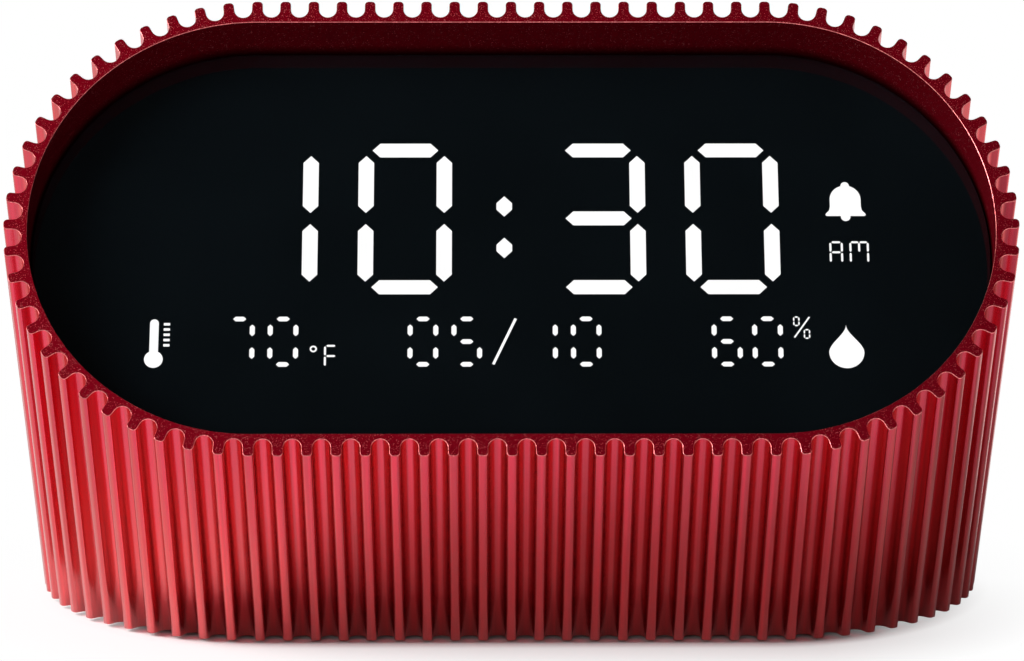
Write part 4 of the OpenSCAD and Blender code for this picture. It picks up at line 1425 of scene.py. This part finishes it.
class CLOCK_OT_screws(bpy.types.Operator):
    """Builds the screws of the back cover and the base, with their cross recesses"""

    bl_idname = "clock.screws"
    bl_label = "Screws"

    def execute(self, context):
        tree = self.tree()
        self.group(context, tree, "cover_screws", Y_AXIS, -math.pi / 2)
        self.group(context, tree, "base_screws", -Z_AXIS, math.pi)
        return {"FINISHED"}

    def group(self, context, tree, node, outwards, turn):
        """The screws of one node, with their heads facing one way."""
        boxes = solids_of(node)
        low, high = boxes[0]
        span = abs((high - low).dot(outwards))
        pattern = self.pattern(context.scene.clock_back, span)
        places = [(low + high) / 2 + outwards * span / 2 for low, high in boxes]
        obj = grown(node + "_turned", tree, {
            "Screw": pattern, "Turn": turn, "Finish": finish("black_steel")},
            plain_mesh(node, places))
        removed(pattern)
        seated(smoothed(obj), BODY, "black_steel", node)

    def pattern(self, sizes, span):
        """A pan head screw with its head's top at zero and its point down."""
        head, tall, shank = sizes.head_radius, sizes.head_height, sizes.shank_radius
        profile = [(head * out, -tall * down) for out, down in HEAD_OUTLINE]
        thread, root = sizes.thread_pitch, shank * THREAD_ROOT
        turns = int((span - tall - shank) / thread)
        for i in range(turns):
            top = -tall - i * thread
            profile += [(root, top), (root, top - thread * ROOT_END),
                        (shank, top - thread * THREAD_EDGE)]
        profile += [(root, -span + shank * 0.6), (shank * 0.3, -span), (0, -span)]
        obj = from_bmesh("screw_pattern", lathe(profile, 32))
        arm, slot = head * CROSS_ARM, head * CROSS_HALF
        cross = [(slot, slot), (arm, slot), (arm, -slot), (slot, -slot), (slot, -arm),
                 (-slot, -arm), (-slot, -slot), (-arm, -slot), (-arm, slot), (-slot, slot),
                 (-slot, arm), (slot, arm)]
        cutter = Plates(Matrix.Translation((0, 0, -tall * CROSS_DEPTH)), tall)
        cutter.plate(cross)
        cutter = from_bmesh("recess_pattern", cutter.built)
        recess = obj.modifiers.new("Cross recess", "BOOLEAN")
        recess.operation = "DIFFERENCE"
        recess.solver = "EXACT"
        recess.object = cutter
        made_plain(obj)
        removed(cutter)
        return obj

    def tree(self):
        """Screws set on points and turned one way."""
        nodes, given, out = shape_tree("Screws", {
            OBJECT: "Screw", FLOAT: "Turn", MATERIAL: "Finish"})
        screws = nodes.on_points(given["Geometry"], given["Screw"],
                                 Rotation=nodes.joined(given["Turn"], 0.0, 0.0))
        screws = nodes.finished(nodes.realized(screws), given["Finish"])
        nodes.put(out["Geometry"], screws)
        return nodes.tree


class CLOCK_OT_socket(bpy.types.Operator):
    """Finishes the charging socket and adds the contacts on its tongue"""

    bl_idname = "clock.socket"
    bl_label = "Charging socket"

    def execute(self, context):
        sizes = context.scene.clock_back
        finish_nodes(usb_socket="socket_steel")
        middle, high = middle_of("usb_socket")
        tip = high.y - sizes.tongue_inset
        across = -(sizes.socket_contacts - 1) / 2 * sizes.contact_pitch
        half = sizes.contact_pitch / 4
        pattern = Plates(Matrix.Identity(4), sizes.contact_height)
        pattern.plate([(-half, -sizes.contact_length), (half, -sizes.contact_length),
                       (half, -half), (half / 2, 0), (-half / 2, 0), (-half, -half)])
        pattern = from_bmesh("contact_pattern", pattern.built)
        top = middle.z + sizes.tongue_height / 2
        contacts = grown("usb_contacts", rows_tree(), {
            "Piece": pattern, "Columns": sizes.socket_contacts, "Rows": 2,
            "First": (middle.x + across, tip, top),
            "Column step": (sizes.contact_pitch, 0.0, 0.0),
            "Row step": (0.0, 0.0, -sizes.tongue_height - sizes.contact_height),
            "Finish": finish("contact_gold")})
        removed(pattern)
        seated(contacts, BODY, "contact_nickel")
        return {"FINISHED"}


# How much nearer the floor is white in reflections: from one place across to another, and
# by how much at each, in millimetres
LEFT_SHIFT = (-65, -10, 65, 0)
RIGHT_SHIFT = (10, 60, 0, 42)
FAR_RIGHT_SHIFT = (75, 105, 0, 24)
# Share of the shadow that is kept beside the clock, and how far outside the flat sides it
# falls to that share
SIDE_SHADOW, SIDE_REACH = 0.15, (16 * MM, 32 * MM)
# Share that is kept at the right, and where across it falls to that share
RIGHT_SHADOW, RIGHT_REACH = 0.4, (45 * MM, 75 * MM)
# Where the dark line along the foot begins, against the foot's edge, and the share of white
# that the camera sees beside that line
LINE_START, FOOT_WHITE = -1 * MM, 0.5
# Brightness of the studio's walls from left to right, and of its ceiling
LEFT_WALL, RIGHT_WALL, CEILING = 0.8, 0.4, 0.012
# Where the walls begin and end across, where they fade to the ceiling, and where the
# white horizon ends, as parts of a direction
WALL_ENDS, WALL_FADE, HORIZON = (-0.8, 0.8), (0.2, 0.6), (0.06, 0.09)


class CLOCK_OT_stage(bpy.types.Operator):
    """Sets the floor, the studio light and the camera"""

    bl_idname = "clock.stage"
    bl_label = "Stage"

    def execute(self, context):
        sizes = context.scene.clock_stage
        context.scene.view_settings.view_transform = "Standard"
        self.floor(sizes, context.scene.clock_shell)
        self.world(context.scene)
        for name in ("key", "front"):
            power, size, place = (getattr(sizes, f"{name}_{part}")
                                  for part in ("power", "size", "place"))
            self.lamp(name + "_lamp", power, size, place, sizes.lamp_aim)
        camera = bpy.data.cameras.new("photo_camera")
        camera.lens = sizes.camera_lens
        camera.sensor_width = sizes.camera_film
        camera.sensor_fit = "HORIZONTAL"
        camera.clip_start, camera.clip_end = 0.01, 50
        holder = bpy.data.objects.new("photo_camera", camera)
        holder.location = sizes.camera_place
        holder.rotation_euler = (math.pi / 2 - sizes.camera_pitch, 0, sizes.camera_yaw)
        context.scene.collection.objects.link(holder)
        context.scene.camera = holder
        return {"FINISHED"}

    def floor(self, sizes, shell):
        """A pale floor that keeps the shadow near the clock and is white further out."""
        half = sizes.floor_size / 2
        corners = [(-half, -half, 0), (half, -half, 0), (half, half, 0), (-half, half, 0)]
        mesh = plain_mesh("floor", corners, faces=[(0, 1, 2, 3)])
        material = bpy.data.materials.new("pale_floor")
        nodes = emptied(material)
        away, kept, nearer = self.beyond_foot(nodes, shell)
        path = nodes.add("ShaderNodeLightPath").outputs
        mirrored = nodes.math("MAXIMUM", path["Is Glossy Ray"], path["Is Transmission Ray"])
        line = nodes.ramp(away, LINE_START, sizes.contact_shadow)
        wide = nodes.ramp(away, 0.0, sizes.shadow_fade, FOOT_WHITE, 1.0)
        faded = nodes.math("MULTIPLY", line, wide)
        shadow = nodes.math("MULTIPLY", kept, nodes.math("SUBTRACT", 1.0, faded))
        plain = nodes.math("MULTIPLY", path["Is Camera Ray"],
                           nodes.math("SUBTRACT", 1.0, shadow))
        reached = nodes.ramp(nodes.math("ADD", away, nearer), sizes.mirror_start,
                             sizes.mirror_fade)
        seen = nodes.math("MAXIMUM", plain, nodes.math("MULTIPLY", mirrored, reached))
        matt = nodes.add("ShaderNodeBsdfDiffuse", {"Color": sizes.floor_colour})
        white = nodes.add("ShaderNodeEmission", {"Strength": 1.0})
        top = nodes.add("ShaderNodeMixShader", {0: seen, 1: matt, 2: white})
        behind = nodes.add("ShaderNodeNewGeometry").outputs["Backfacing"]
        clear = nodes.add("ShaderNodeBsdfTransparent")
        both = nodes.add("ShaderNodeMixShader", {0: behind, 1: top, 2: clear})
        nodes.add("ShaderNodeOutputMaterial", {"Surface": both})
        mesh.materials.append(material)
        add_object("floor", mesh)

    def beyond_foot(self, nodes, shell):
        """How far a point of the floor lies outside the foot, how much of the shadow it
        keeps for the camera, and how much nearer it turns white in reflections."""
        place = nodes.parts(nodes.add("ShaderNodeTexCoord").outputs["Object"])
        side = nodes.math("SUBTRACT", nodes.math("ABSOLUTE", place[0]), half_flat(shell))
        deep = nodes.math("MULTIPLY", nodes.math("SUBTRACT", place[1], foot_middle(shell)),
                          math.cos(shell.lean))
        out = nodes.joined(nodes.math("MAXIMUM", side, 0.0), deep, 0.0)
        away = nodes.math("SUBTRACT", nodes.vector("LENGTH", out), shell.tip_radius)
        kept = nodes.math("MAXIMUM",
                          nodes.ramp(deep, 0.0, -shell.tip_radius, SIDE_SHADOW, 1.0),
                          nodes.ramp(side, *SIDE_REACH, 1.0, SIDE_SHADOW))
        kept = nodes.math("MULTIPLY", kept,
                          nodes.ramp(place[0], *RIGHT_REACH, 1.0, RIGHT_SHADOW))
        left, right, far_right = (nodes.ramp(place[0], *(v * MM for v in shift)) for shift
                                  in (LEFT_SHIFT, RIGHT_SHIFT, FAR_RIGHT_SHIFT))
        nearer = nodes.math("ADD", left, nodes.math("SUBTRACT", right, far_right))
        return away, kept, nearer

    def world(self, scene):
        """A white horizon, pale walls that are brighter at the left, and a dark ceiling."""
        world = bpy.data.worlds.new("studio")
        nodes = emptied(world)
        way = nodes.parts(nodes.add("ShaderNodeTexCoord").outputs["Generated"])
        wall = nodes.ramp(way[0], *WALL_ENDS, LEFT_WALL, RIGHT_WALL)
        height = nodes.ramp(way[2], *WALL_FADE, 1.0, CEILING)
        shade = nodes.math("MULTIPLY", wall, height)
        horizon = nodes.ramp(way[2], *HORIZON, 1.0, 0.0)
        light = nodes.math("MAXIMUM", shade, horizon)
        back = nodes.add("ShaderNodeBackground", {"Color": nodes.joined(light, light, light)})
        nodes.add("ShaderNodeOutputWorld", {"Surface": back})
        scene.world = world

    def lamp(self, name, power, size, place, aim):
        """A square soft lamp that looks at the clock."""
        data = bpy.data.lights.new(name, "AREA")
        data.energy = power
        data.size = size
        lamp = bpy.data.objects.new(name, data)
        lamp.location = place
        lamp.rotation_euler = (aim - lamp.location).to_track_quat("-Z", "Y").to_euler()
        bpy.context.scene.collection.objects.link(lamp)


SIZES = {"clock_shell": ShellSizes, "clock_display": DisplaySizes, "clock_back": BackSizes,
         "clock_colours": Colours, "clock_stage": StageSizes}
OPERATORS = (CLOCK_OT_stage, CLOCK_OT_shell, CLOCK_OT_display_stack, CLOCK_OT_display,
             CLOCK_OT_inside, CLOCK_OT_back, CLOCK_OT_buttons, CLOCK_OT_slider,
             CLOCK_OT_socket, CLOCK_OT_screws, CLOCK_OT_foot)


class CLOCK_PT_build(bpy.types.Panel):
    """Sizes, colours and build steps of the clock"""

    bl_idname = "CLOCK_PT_build"
    bl_label = "Ribbed desk clock"
    bl_space_type = "VIEW_3D"
    bl_region_type = "UI"
    bl_category = "Clock"

    def draw(self, context):
        for key, kind in SIZES.items():
            box = self.layout.box()
            box.label(text=kind.__doc__.rstrip("."))
            for name in kind.__annotations__:
                box.prop(getattr(context.scene, key), name)
        for operator in OPERATORS:
            self.layout.operator(operator.bl_idname)


def register():
    for kind in (*SIZES.values(), *OPERATORS, CLOCK_PT_build):
        bpy.utils.register_class(kind)
    for key, kind in SIZES.items():
        setattr(bpy.types.Scene, key, PointerProperty(type=kind))


def unregister():
    for key in SIZES:
        delattr(bpy.types.Scene, key)
    for kind in (CLOCK_PT_build, *reversed(OPERATORS), *SIZES.values()):
        bpy.utils.unregister_class(kind)


def main():
    """Builds the clock and its stage."""
    register()
    for operator in OPERATORS:
        family, name = operator.bl_idname.split(".")
        getattr(getattr(bpy.ops, family), name)()


if __name__ == "__main__":
    main()
